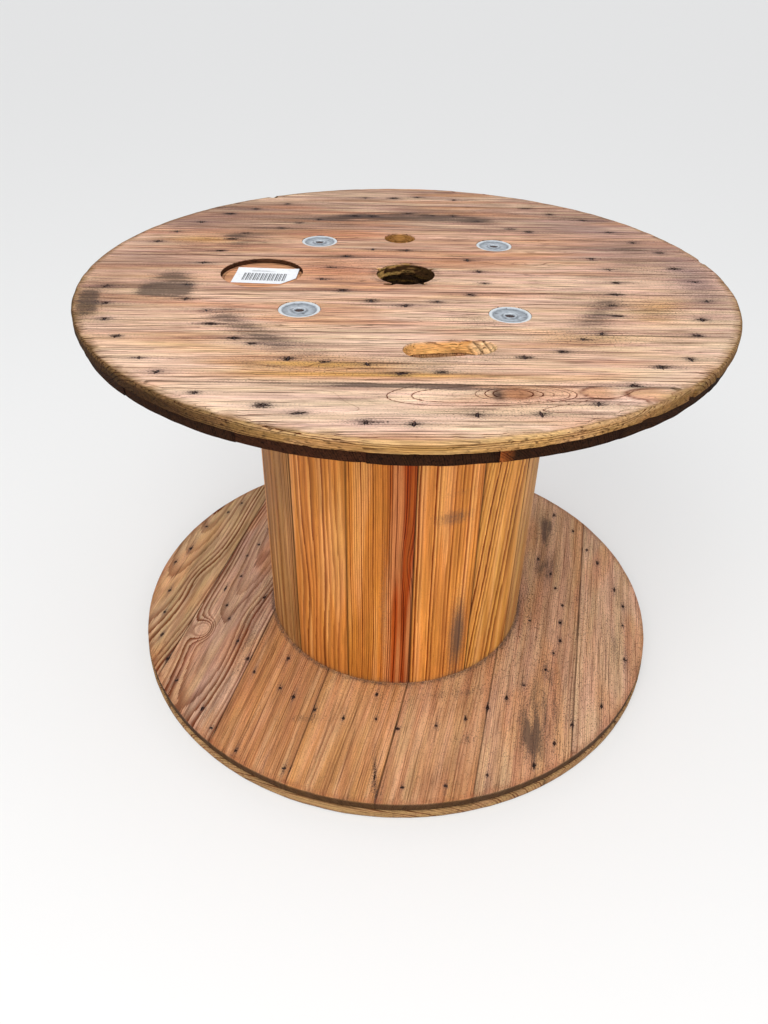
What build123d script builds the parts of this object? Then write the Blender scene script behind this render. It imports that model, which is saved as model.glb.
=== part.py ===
from build123d import *
import os
from math import ceil, cos, radians, sin

# A wooden cable drum, standing on its end.
#
# Two round flanges are each two plies of softwood boards, nailed across one another. A barrel of
# staves sits in a round groove in each flange, and four tie rods inside the barrel pull the flanges
# together, with a dished nut let into the outside of each flange.
#
# Millimetres. The origin is the centre of the face that the drum stands on, +Z runs up the drum's
# axis, +X is to the right and -Y is the front.

# Flanges: two plies each, the boards of one ply lying across those of the other
flange_diameter = 900.0
ply_thickness = 16.0
board_width = 133.0
board_ease = 0.7
flange_gap = 566.0
inner_ply_step = 4.0
floor_ply_step = 2.0
worn_arris = 7.0
worn_arris_ease = 2.4
floor_arris = 3.0
sawn_arris = 1.5

# Grain of each ply, in degrees from +X, measured towards +Y
top_outer_grain = 2.0
top_inner_grain = 94.3
bottom_inner_grain = 78.8
bottom_outer_grain = -11.2

# The two sides of a ply whose boards lie left to right, and of one whose boards lie across them
lengthways = ("front", "rear")
across = ("right", "left")

# Barrel
barrel_diameter = 444.0
stave_thickness = 24.0
stave_count = 14
first_seam_angle = 6.5
stave_ease = 0.8
groove_depth = 6.0
groove_clearance = 0.3

# Holes for the spindle and for the driving pin
arbor_diameter = 82.0
driving_diameter = 48.0
driving_radius = 157.5
top_driving_angle = 94.0
bottom_driving_angle = 80.8

# Tie rods and their dished nuts
rod_count = 4
rod_diameter = 12.0
rod_stave_gap = 2.0
rod_first_angle = 45.0
rod_end_sink = 1.2
thread_clearance = 0.15
nut_diameter = 54.0
nut_rim_thickness = 3.4
nut_lip_width = 3.0
nut_web_thickness = 1.5
nut_dish_radius = 12.0
nut_collar_height = 2.7
nut_hub_diameter = 20.0
nut_hub_length = 20.0
nut_sink = 0.6
nut_clearance = 0.6

# Slot that the inner end of the cable leaves by, with one end bored at a slant
slot_width = 43.0
slot_length = 113.0
slot_angle = 10.0
slot_shift = 12.5
slot_wall = 2.1
slot_slant = 45.0
slant_bore_diameter = 41.0
slant_bore_step = 2.0

# Round recess for a label
recess_diameter = 115.0
recess_depth = 7.0
recess_radius = 202.0
recess_angle = 182.0

# Worked out from the sizes above
flange_radius = flange_diameter / 2
flange_thickness = 2 * ply_thickness
drum_height = flange_gap + 2 * flange_thickness
top_flange_base = flange_thickness + flange_gap
half_row = ceil((flange_radius - board_width / 2) / board_width)
barrel_radius = barrel_diameter / 2
stave_inside = barrel_radius - stave_thickness
stave_angle = 360.0 / stave_count
groove_outer = barrel_radius + groove_clearance
groove_inner = stave_inside - groove_clearance
rod_radius = rod_diameter / 2
rod_circle = stave_inside - rod_stave_gap - rod_radius
nut_seat_depth = nut_rim_thickness + nut_sink
rod_end_depth = nut_seat_depth - nut_collar_height + rod_end_sink
hub_hole_radius = nut_hub_diameter / 2 + nut_clearance
slot_line = groove_outer + slot_wall + slot_width / 2
slot_run = flange_thickness * sin(radians(slot_slant)) / cos(radians(slot_slant))


def polar(radius, angle):
    """A point on the flange, from its distance to the axis and its angle from +X."""
    return radius * cos(radians(angle)), radius * sin(radians(angle))


def cut_round(diameter, centre, base, height):
    """Bores a round hole or recess of a given height, upwards from a level."""
    with BuildSketch(Plane.XY.offset(base)) as outline:
        with Locations(centre):
            Circle(diameter / 2)
    extrude(outline.sketch, amount=height, mode=Mode.SUBTRACT)


def cut_rod_holes(diameter, base, height):
    """Bores one hole for each tie rod."""
    with BuildSketch(Plane.XY.offset(base)) as outline:
        with PolarLocations(rod_circle, rod_count, start_angle=rod_first_angle):
            Circle(diameter / 2)
    extrude(outline.sketch, amount=height, mode=Mode.SUBTRACT)


def cut_groove(base):
    """Routs the round groove that the ends of the staves stand in."""
    with BuildSketch(Plane.XY.offset(base)) as ring:
        Circle(groove_outer)
        Circle(groove_inner, mode=Mode.SUBTRACT)
    extrude(ring.sketch, amount=groove_depth, mode=Mode.SUBTRACT)


def cut_cable_slot():
    """Cuts the cable slot through the top flange: straight down, and at a slant at its right end."""
    along = Vector(cos(radians(slot_angle)), sin(radians(slot_angle)), 0)
    across = Vector(-along.Y, along.X, 0)
    straight_length = slot_length - slot_run + slant_bore_step
    straight_centre = slot_shift - slot_run / 2 + slant_bore_step / 2
    face = Plane(origin=(0, 0, top_flange_base), x_dir=along, z_dir=(0, 0, 1))
    with BuildSketch(face) as straight_part:
        with Locations((straight_centre, -slot_line)):
            SlotOverall(straight_length, slot_width)
    extrude(straight_part.sketch, amount=flange_thickness, mode=Mode.SUBTRACT)
    slant = along * sin(radians(slot_slant)) + Vector(0, 0, cos(radians(slot_slant)))
    bore_radius = slant_bore_diameter / 2
    bore_end = slot_shift + slot_length / 2 - slot_run
    foot = along * (bore_end - bore_radius / cos(radians(slot_slant))) - across * slot_line
    foot = foot + Vector(0, 0, top_flange_base)
    bore_length = (flange_thickness + slot_width) / cos(radians(slot_slant))
    with BuildSketch(Plane(origin=foot, x_dir=across, z_dir=slant)) as slanted_part:
        Circle(bore_radius)
    extrude(slanted_part.sketch, amount=bore_length, both=True, mode=Mode.SUBTRACT)


def sawn_rim():
    """Breaks both arrises of a ply's sawn rim."""
    chamfer(vertices().group_by(Axis.X)[-1], sawn_arris)


def floor_rim():
    """Breaks the arrises of the lowest ply's rim, more so where it rolls on the ground."""
    chamfer(vertices().group_by(Axis.X)[-1].sort_by(Axis.Y)[0], floor_arris)
    chamfer(vertices().group_by(Axis.X)[-1].sort_by(Axis.Y)[-1], sawn_arris)


def worn_rim():
    """Wears the top arris of the upper flange nearly round, and breaks the lower one."""
    chamfer(vertices().group_by(Axis.X)[-1].sort_by(Axis.Y)[0], sawn_arris)
    chamfer(vertices().group_by(Axis.X)[-1].sort_by(Axis.Y)[-1], worn_arris)
    chamfer(vertices().group_by(Axis.X)[-1].sort_by(Axis.Y)[-1], worn_arris_ease)
    chamfer(vertices().group_by(Axis.Y)[-1].sort_by(Axis.X)[-1], worn_arris_ease)


def board(name, row, base, grain, radius, shape_rim, cuts):
    """One board of a ply: sawn stock, laid beside its neighbours, then cut round with the disc."""
    with BuildPart() as piece:
        with BuildSketch(Plane.XZ):
            with Locations((0, base)):
                Rectangle(radius, ply_thickness, align=(Align.MIN, Align.MIN))
            shape_rim()
        revolve(axis=Axis.Z)
        length_way = (cos(radians(grain)), sin(radians(grain)), 0)
        width_way = (-sin(radians(grain)), cos(radians(grain)), 0)
        with BuildSketch(Plane(origin=(0, 0, base), x_dir=width_way, z_dir=length_way)):
            with Locations((row * board_width, ply_thickness / 2)):
                Rectangle(board_width, ply_thickness)
            chamfer(vertices(), board_ease)
        extrude(amount=radius, both=True, mode=Mode.INTERSECT)
        for cut in cuts:
            cut()
    piece.part.label = name
    export_step(piece.part, f"parts/{name}.step")


def ply(name, sides, base, grain, radius, shape_rim, cuts):
    """A row of boards, named by how far each lies from the middle one, and to which side."""
    board(f"{name}_middle", 0, base, grain, radius, shape_rim, cuts)
    for row in range(1, half_row + 1):
        board(f"{name}_{sides[0]}_{row}", -row, base, grain, radius, shape_rim, cuts)
        board(f"{name}_{sides[1]}_{row}", row, base, grain, radius, shape_rim, cuts)


def top_flange():
    """The upper flange, with the cable slot and the label recess."""
    driving_place = polar(driving_radius, top_driving_angle)
    inner_base = top_flange_base
    outer_base = top_flange_base + ply_thickness

    def shared_holes():
        cut_round(arbor_diameter, (0, 0), top_flange_base, flange_thickness)
        cut_round(driving_diameter, driving_place, top_flange_base, flange_thickness)
        cut_rod_holes(2 * hub_hole_radius, top_flange_base, flange_thickness)
        cut_cable_slot()

    def groove():
        cut_groove(inner_base)

    def nut_seats():
        cut_rod_holes(nut_diameter + 2 * nut_clearance, drum_height - nut_seat_depth, nut_seat_depth)

    def label_recess():
        place = polar(recess_radius, recess_angle)
        cut_round(recess_diameter, place, drum_height - recess_depth, recess_depth)

    inner_radius = flange_radius - inner_ply_step
    inner_cuts = [shared_holes, groove]
    outer_cuts = [shared_holes, nut_seats, label_recess]
    ply("top_inner", across, inner_base, top_inner_grain, inner_radius, sawn_rim, inner_cuts)
    ply("top_outer", lengthways, outer_base, top_outer_grain, flange_radius, worn_rim, outer_cuts)


def bottom_flange():
    """The lower flange, which the drum stands on."""
    driving_place = polar(driving_radius, bottom_driving_angle)
    inner_base = ply_thickness

    def shared_holes():
        cut_round(arbor_diameter, (0, 0), 0, flange_thickness)
        cut_round(driving_diameter, driving_place, 0, flange_thickness)
        cut_rod_holes(2 * hub_hole_radius, 0, flange_thickness)

    def groove():
        cut_groove(flange_thickness - groove_depth)

    def nut_seats():
        cut_rod_holes(nut_diameter + 2 * nut_clearance, 0, nut_seat_depth)

    inner_radius = flange_radius - inner_ply_step
    outer_radius = flange_radius - floor_ply_step
    inner_cuts = [shared_holes, groove]
    outer_cuts = [shared_holes, nut_seats]
    ply("bottom_outer", lengthways, 0, bottom_outer_grain, outer_radius, floor_rim, outer_cuts)
    ply("bottom_inner", across, inner_base, bottom_inner_grain, inner_radius, sawn_rim, inner_cuts)


def staves():
    """The barrel: staves with a round outside, a flat inside and sides cut to the axis."""
    half = stave_angle / 2
    base = flange_thickness - groove_depth
    length = flange_gap + 2 * groove_depth
    for number in range(stave_count):
        middle = first_seam_angle - 90 + half + number * stave_angle
        with BuildPart() as stave:
            with BuildSketch(Plane.XY.offset(base).rotated((0, 0, middle))):
                with BuildLine():
                    inside = stave_inside / cos(radians(half))
                    outer_edge = CenterArc((0, 0), barrel_radius, -half, stave_angle)
                    Line(outer_edge @ 1, polar(inside, half))
                    Line(polar(inside, half), polar(inside, -half))
                    Line(polar(inside, -half), outer_edge @ 0)
                make_face()
                chamfer(vertices().group_by(Axis.X)[-1], stave_ease)
            extrude(amount=length)
        name = f"stave_{number + 1:02d}"
        stave.part.label = name
        export_step(stave.part, f"parts/{name}.step")


def nut_profile(plane):
    """Half the section of a nut: a hub in the wood, a dished flange and a collar round the thread."""
    bore = rod_radius + thread_clearance
    hub = nut_hub_diameter / 2
    rim = nut_diameter / 2
    with BuildSketch(plane) as section:
        with BuildLine():
            Polyline(
                (bore, -nut_hub_length),
                (hub, -nut_hub_length),
                (hub, 0),
                (rim, 0),
                (rim, nut_rim_thickness),
                (rim - nut_lip_width, nut_rim_thickness),
                (nut_dish_radius, nut_web_thickness),
                (bore, nut_collar_height),
                close=True,
            )
        make_face()
    return section.sketch


def rods_and_nuts():
    """Tie rods inside the barrel, with a nut at each end."""
    for number in range(rod_count):
        x, y = polar(rod_circle, rod_first_angle + number * 360 / rod_count)
        with BuildPart() as rod:
            with BuildSketch(Plane.XY.offset(rod_end_depth)):
                with Locations((x, y)):
                    Circle(rod_radius)
            extrude(amount=drum_height - 2 * rod_end_depth)
        rod.part.label = f"tie_rod_{number + 1}"
        export_step(rod.part, f"parts/tie_rod_{number + 1}.step")
        with BuildPart() as top_nut:
            seat = drum_height - nut_seat_depth
            section = nut_profile(Plane(origin=(x, y, seat), x_dir=(1, 0, 0), z_dir=(0, -1, 0)))
            revolve(section, axis=Axis((x, y, 0), (0, 0, 1)))
        top_nut.part.label = f"top_nut_{number + 1}"
        export_step(top_nut.part, f"parts/top_nut_{number + 1}.step")
        with BuildPart() as bottom_nut:
            seat_plane = Plane(origin=(x, y, nut_seat_depth), x_dir=(1, 0, 0), z_dir=(0, 1, 0))
            revolve(nut_profile(seat_plane), axis=Axis((x, y, 0), (0, 0, 1)))
        bottom_nut.part.label = f"bottom_nut_{number + 1}"
        export_step(bottom_nut.part, f"parts/bottom_nut_{number + 1}.step")


os.makedirs("parts", exist_ok=True)
bottom_flange()
top_flange()
staves()
rods_and_nuts()
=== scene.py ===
import random
from functools import partial
from math import cos, pi, radians, sin

import bmesh
import bpy
import numpy as np
from mathutils import Matrix, Vector, noise


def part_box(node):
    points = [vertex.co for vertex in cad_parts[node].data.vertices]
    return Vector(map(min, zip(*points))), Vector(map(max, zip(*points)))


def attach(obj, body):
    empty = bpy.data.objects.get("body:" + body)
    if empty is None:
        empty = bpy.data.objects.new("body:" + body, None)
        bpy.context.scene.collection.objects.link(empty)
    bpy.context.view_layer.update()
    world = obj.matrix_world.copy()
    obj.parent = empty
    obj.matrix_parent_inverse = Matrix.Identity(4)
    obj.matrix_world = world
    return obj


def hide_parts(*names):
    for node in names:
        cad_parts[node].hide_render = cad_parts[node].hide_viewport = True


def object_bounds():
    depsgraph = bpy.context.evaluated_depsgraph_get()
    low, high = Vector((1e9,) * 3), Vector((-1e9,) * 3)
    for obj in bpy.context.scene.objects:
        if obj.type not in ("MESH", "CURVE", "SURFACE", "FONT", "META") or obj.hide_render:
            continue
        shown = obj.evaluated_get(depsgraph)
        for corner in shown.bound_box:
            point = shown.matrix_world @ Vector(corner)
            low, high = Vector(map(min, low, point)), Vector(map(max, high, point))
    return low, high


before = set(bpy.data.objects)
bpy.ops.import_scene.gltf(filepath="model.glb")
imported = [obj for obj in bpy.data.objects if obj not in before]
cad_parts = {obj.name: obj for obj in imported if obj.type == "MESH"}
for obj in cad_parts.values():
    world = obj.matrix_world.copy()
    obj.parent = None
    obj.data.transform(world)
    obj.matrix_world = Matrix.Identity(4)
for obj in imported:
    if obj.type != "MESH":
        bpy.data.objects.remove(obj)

bl_info = {
    "name": "Wooden cable drum",
    "version": (1, 0, 0),
    "blender": (4, 5, 0),
    "location": "View3D > Sidebar > Drum",
    "description": "Builds the look of a wooden cable drum around its CAD frame",
    "category": "Object",
}

CAD_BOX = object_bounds()
MM = 0.001
TURN = 2 * pi

# Sizes that the frame gives
FLANGE_RADIUS = CAD_BOX[1].x
TOP = CAD_BOX[1].z
OUTER_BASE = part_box("top_outer_middle")[0].z
INNER_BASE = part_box("top_inner_middle")[0].z
PLY = TOP - OUTER_BASE
BOTTOM_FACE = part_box("bottom_inner_middle")[1].z
STAVE_FOOT, STAVE_TOP = (corner.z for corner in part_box("stave_01"))
ROD_LOW, ROD_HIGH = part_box("tie_rod_1")
ROD_CIRCLE = (ROD_LOW.x / 2 + ROD_HIGH.x / 2) * 2 ** 0.5
NUT_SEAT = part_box("top_nut_1")[1].z

# Sizes of the drum's fixed details, in metres
ROD_HOLE = 0.0106
SEAT_RADIUS = 0.0276
NUT_THICKNESS = 0.0034
STAVE_EASE = 0.0009
# Rounding of the rims that aren't worn
PLAIN_ARRIS = 0.0015
# How much smaller the radius of the slot's slanted bore is than the slot's own, and how it leans
SLOT_TAPER = 0.001
SLOT_SLANT = radians(45)
# Length and width of a sawn board's fields: fine where the face is near, coarse where it is hidden
FINE_STEP = (0.0045, 0.0018)
MIDDLE_STEP = (0.006, 0.0026)
COARSE_STEP = (0.03, 0.006)
# How far the middle of a nail pit's cutter lies above the face
PIT_LIFT = 0.0016
# Points that lie closer than this are taken as level, and cutters reach so far past a flange
LEVEL = 1e-5
PAST = 0.01

# Turns of the boards' grain and of the driving holes
TOP_GRAIN = radians(2)
TOP_INNER_GRAIN = radians(94.3)
BOTTOM_GRAIN = radians(78.8)
FLOOR_GRAIN = radians(-11.2)
TOP_DRIVING = radians(94)
BOTTOM_DRIVING = radians(80.8)


def linear(hex_colour):
    """A colour written as sRGB hex, as the linear values that Blender works in."""
    parts = [int(hex_colour[k:k + 2], 16) / 255 for k in (1, 3, 5)]
    return tuple(c / 12.92 if c <= 0.04045 else ((c + 0.055) / 1.055) ** 2.4 for c in parts)


def a_length(name, description, default):
    """A length that a user may change, in metres."""
    return bpy.props.FloatProperty(name=name, description=description, default=default, unit="LENGTH")


def a_turn(name, description, degrees):
    """A turn that a user may change, its default given in degrees."""
    return bpy.props.FloatProperty(
        name=name, description=description, default=radians(degrees), subtype="ANGLE", unit="ROTATION")


def a_colour(name, description, shade):
    """A colour that a user may change, its default given as sRGB hex."""
    return bpy.props.FloatVectorProperty(
        name=name, description=description, subtype="COLOR", default=linear(shade))


class DrumSizes(bpy.types.PropertyGroup):
    """Sizes of the drum that a user may change, in metres and degrees."""

    board_width: a_length("Board width", "Width of one flange board", 0.133)
    board_ease: a_length("Board ease", "Rounding of a board's long arrises", 0.0009)
    worn_arris: a_length("Worn arris", "Rounding of the upper flange's rim", 0.0055)
    rim_wear: a_length("Rim wear", "Depth of the dents worn into a rim", 0.0016)
    arbor_radius: a_length("Arbor radius", "Radius of the spindle hole", 0.041)
    arbor_tear: a_length("Arbor tear", "Depth of the torn grain in the spindle hole", 0.011)
    driving_radius: a_length("Driving hole", "Radius of the driving pin's hole", 0.024)
    driving_circle: a_length("Driving circle", "Distance of the driving hole from the axis", 0.1575)
    recess_radius: a_length("Recess radius", "Radius of the label's recess", 0.0575)
    recess_depth: a_length("Recess depth", "Depth of the label's recess", 0.007)
    recess_place: bpy.props.FloatVectorProperty(
        name="Recess place", description="Centre of the label's recess", size=2,
        default=(-0.20188, -0.00705), unit="LENGTH")
    slot_width: a_length("Slot width", "Width of the cable slot", 0.043)
    slot_length: a_length("Slot length", "Length of the cable slot", 0.113)
    slot_shift: a_length("Slot shift", "How far the slot's middle lies to the right", 0.0125)
    slot_line: a_length("Slot line", "Distance of the slot's middle line from the axis", 0.2459)
    slot_angle: a_turn("Slot angle", "Turn of the slot", 10)
    barrel_radius: a_length("Barrel radius", "Radius of the barrel's outside", 0.222)
    barrel_inside: a_length("Barrel inside", "Distance of a stave's flat inside from the axis", 0.198)
    stave_count: bpy.props.IntProperty(
        name="Staves", description="Number of staves in the barrel", default=14)
    first_seam: a_turn("First seam", "Turn of the first seam from the front", 6.5)
    nut_radius: a_length("Nut radius", "Radius of a dished nut", 0.027)
    rod_radius: a_length("Rod radius", "Radius of a tie rod", 0.006)


class DrumColours(bpy.types.PropertyGroup):
    """Base colours of the drum's finishes."""

    bleached: a_colour("Bleached", "Boards bleached by the sun", "#ecc8ad")
    brown: a_colour("Brown", "Boards browned by the weather", "#9a7460")
    rim: a_colour("Rim", "The sawn rims", "#a57b4b")
    # The dark rim colour is dirt and painted shade on the upper rim's sides, and painted shade along its foot
    dark_rim: a_colour("Dark rim", "The sheltered, dirty rims", "#2a180c")
    fresh: a_colour("Fresh", "Freshly cut softwood", "#e6ac69")
    red: a_colour("Red", "Red heartwood in the staves", "#963504")


def sizes():
    return bpy.context.scene.drum_sizes


def colours():
    return bpy.context.scene.drum_colours


# Selecting and finishing pieces


def deselect():
    """Leaves edit mode and selects nothing."""
    active = bpy.context.view_layer.objects.active
    if active and active.mode != "OBJECT":
        bpy.ops.object.mode_set(mode="OBJECT")
    bpy.ops.object.select_all(action="DESELECT")


def hold(piece):
    """Selects one piece alone."""
    deselect()
    piece.select_set(True)
    bpy.context.view_layer.objects.active = piece


def done(piece):
    """Leaves edit mode and gives the piece its place in its mesh."""
    hold(piece)
    bpy.ops.object.transform_apply(location=True, rotation=True, scale=True)
    return piece


def start(primitive_add, **settings):
    """Adds a primitive by its operator, with nothing else selected."""
    deselect()
    primitive_add(**settings)
    return done(bpy.context.view_layer.objects.active)


def edit(piece):
    """Opens a piece in edit mode with nothing selected."""
    hold(piece)
    bpy.ops.object.mode_set(mode="EDIT")
    bpy.ops.mesh.select_all(action="DESELECT")


def choose(piece, kind, test):
    """Selects the faces, edges or verts of the piece in edit mode that pass a test."""
    bpy.ops.mesh.select_mode(type=kind)
    mesh = bmesh.from_edit_mesh(piece.data)
    for item in {"FACE": mesh.faces, "EDGE": mesh.edges, "VERT": mesh.verts}[kind]:
        item.select_set(bool(test(item)))
    mesh.select_flush_mode()
    bmesh.update_edit_mesh(piece.data)


def rise(edge):
    """How much higher one end of an edge lies than the other."""
    return abs(edge.verts[0].co.z - edge.verts[1].co.z)


def face_outwards():
    """Turns all the faces of the piece in edit mode outwards."""
    bpy.ops.mesh.select_all(action="SELECT")
    bpy.ops.mesh.normals_make_consistent(inside=False)


def modify(piece, kind, **settings):
    """Adds a modifier to a piece and applies it."""
    hold(piece)
    modifier = piece.modifiers.new(kind.lower(), kind)
    for key, value in settings.items():
        setattr(modifier, key, value)
    bpy.ops.object.modifier_apply(modifier=modifier.name)


def roughen(piece, name, scale, strength, middle, weigh):
    """Dents a piece with cloudy noise, each vertex by the weight that a function gives it."""
    texture = bpy.data.textures.new(name, "CLOUDS")
    texture.noise_scale = scale
    texture.noise_depth = 4
    group = piece.vertex_groups.new(name=name)
    for vertex in piece.data.vertices:
        group.add([vertex.index], weigh(vertex.co), "REPLACE")
    modify(piece, "DISPLACE", texture=texture, strength=strength, mid_level=middle, vertex_group=name,
           texture_coords="LOCAL")


def points_of(piece):
    flat = np.zeros(len(piece.data.vertices) * 3, np.float32)
    piece.data.vertices.foreach_get("co", flat)
    return flat.reshape(-1, 3).astype(float)


def cut(piece, cutter, operation="DIFFERENCE"):
    """Cuts a piece with another. Faces that nearly meet can defeat one solver, so what is left must
    be closed and lie within the piece, or else the other solver cuts it."""
    whole = piece.data.copy()
    low, high = points_of(piece).min(0) - 0.0005, points_of(piece).max(0) + 0.0005
    for solver in ("MANIFOLD", "EXACT"):
        modify(piece, "BOOLEAN", object=cutter, operation=operation, solver=solver)
        points = points_of(piece)
        inside = len(points) and (points > low).all() and (points < high).all()
        if inside and not open_edges(piece):
            return
        piece.data = whole.copy()
    raise RuntimeError(f"{cutter.name} doesn't cut {piece.name}")


def open_edges(piece):
    """How many edges of a piece don't join two faces."""
    mesh = bmesh.new()
    mesh.from_mesh(piece.data)
    count = sum(not edge.is_manifold for edge in mesh.edges)
    mesh.free()
    return count


def discard(*pieces):
    """Deletes tools such as cutters once they have done their work."""
    for piece in pieces:
        bpy.data.objects.remove(piece, do_unlink=True)


def duplicate(piece, name):
    """A copy of a piece with a mesh of its own."""
    copy = piece.copy()
    copy.data = piece.data.copy()
    copy.name = name
    bpy.context.scene.collection.objects.link(copy)
    return copy


def fuse(pieces, name):
    """Joins copies of one shape into a single mesh."""
    deselect()
    for piece in pieces:
        piece.select_set(True)
    bpy.context.view_layer.objects.active = pieces[0]
    bpy.ops.object.join()
    joined = bpy.context.view_layer.objects.active
    joined.name = name
    return done(joined)


def adopt(piece, finish, slot, *nodes):
    """Gives a finished piece its shading, finish and place on the drum."""
    hold(piece)
    bpy.ops.object.shade_smooth_by_angle(angle=radians(32))
    piece.data.materials.clear()
    piece.data.materials.append(FINISHES[finish])
    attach(piece, "root")
    if nodes:
        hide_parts(*nodes)


# Places and measures


def moved(*place):
    return Matrix.Translation(place)


def turned(angle, axis="Z"):
    return Matrix.Rotation(angle, 4, axis)


def polar(radius, angle):
    """A place on the flange, from its distance from the axis and its direction."""
    return radius * cos(angle), radius * sin(angle)


def within(points, place):
    """Points as they lie in a frame of their own."""
    back = np.array(place.inverted())
    return points @ back[:3, :3].T + back[:3, 3]


def away(points, place=(0, 0)):
    """How far each point lies from an upright line."""
    return np.hypot(points[:, 0] - place[0], points[:, 1] - place[1])


def along_across(points, place, angle):
    """How far each point lies from a place along a direction, and across it."""
    dx = points[:, 0] - place[0]
    dy = points[:, 1] - place[1]
    return dx * cos(angle) + dy * sin(angle), -dx * sin(angle) + dy * cos(angle)


def smooth(low, high, value):
    """Runs from 0 to 1 between two values, softly at both ends."""
    share = np.clip((value - low) / (high - low), 0, 1)
    return share * share * (3 - 2 * share)


def bell(a, b=0):
    """1 where both values are 0, and less the further they are from it."""
    return np.exp(-a ** 2 - b ** 2)


def cloudy(points, size, seed):
    """Soft noise from 0 to 1 at points in metres, with features of the sizes given along each axis."""
    scaled = points / np.array(size) + seed
    return np.array([noise.noise(p) for p in scaled]) + 0.5


# Materials


def feed(node, inputs):
    """Gives a node's inputs their values or links. A colour is written as sRGB hex."""
    for socket, value in inputs.items():
        if isinstance(value, bpy.types.NodeSocket):
            node.id_data.links.new(value, node.inputs[socket])
        else:
            node.inputs[socket].default_value = (*linear(value), 1) if isinstance(value, str) else value


def add_node(tree, kind, *inputs, output=0, **settings):
    """Adds a shader node, sets it up, feeds its inputs, given in order or by their names or
    numbers, and returns one output."""
    node = tree.nodes.new("ShaderNode" + kind)
    for key, value in settings.items():
        setattr(node, key, value)
    named = inputs and isinstance(inputs[0], dict)
    feed(node, inputs[0] if named else dict(enumerate(inputs)))
    return node.outputs[output]


# Settings of the nodes that mix two colours, and of those that multiply them
MIX = {"output": 2, "data_type": "RGBA"}
TIMES = {**MIX, "blend_type": "MULTIPLY"}
# Each material by its name, because one of the CAD model's own may have the same name
FINISHES = {}


def new_material(name):
    """The shader of an empty material, and its node adder."""
    FINISHES[name] = bpy.data.materials.new(name)
    FINISHES[name].use_nodes = True
    tree = FINISHES[name].node_tree
    return tree.nodes["Principled BSDF"], partial(add_node, tree)


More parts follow.
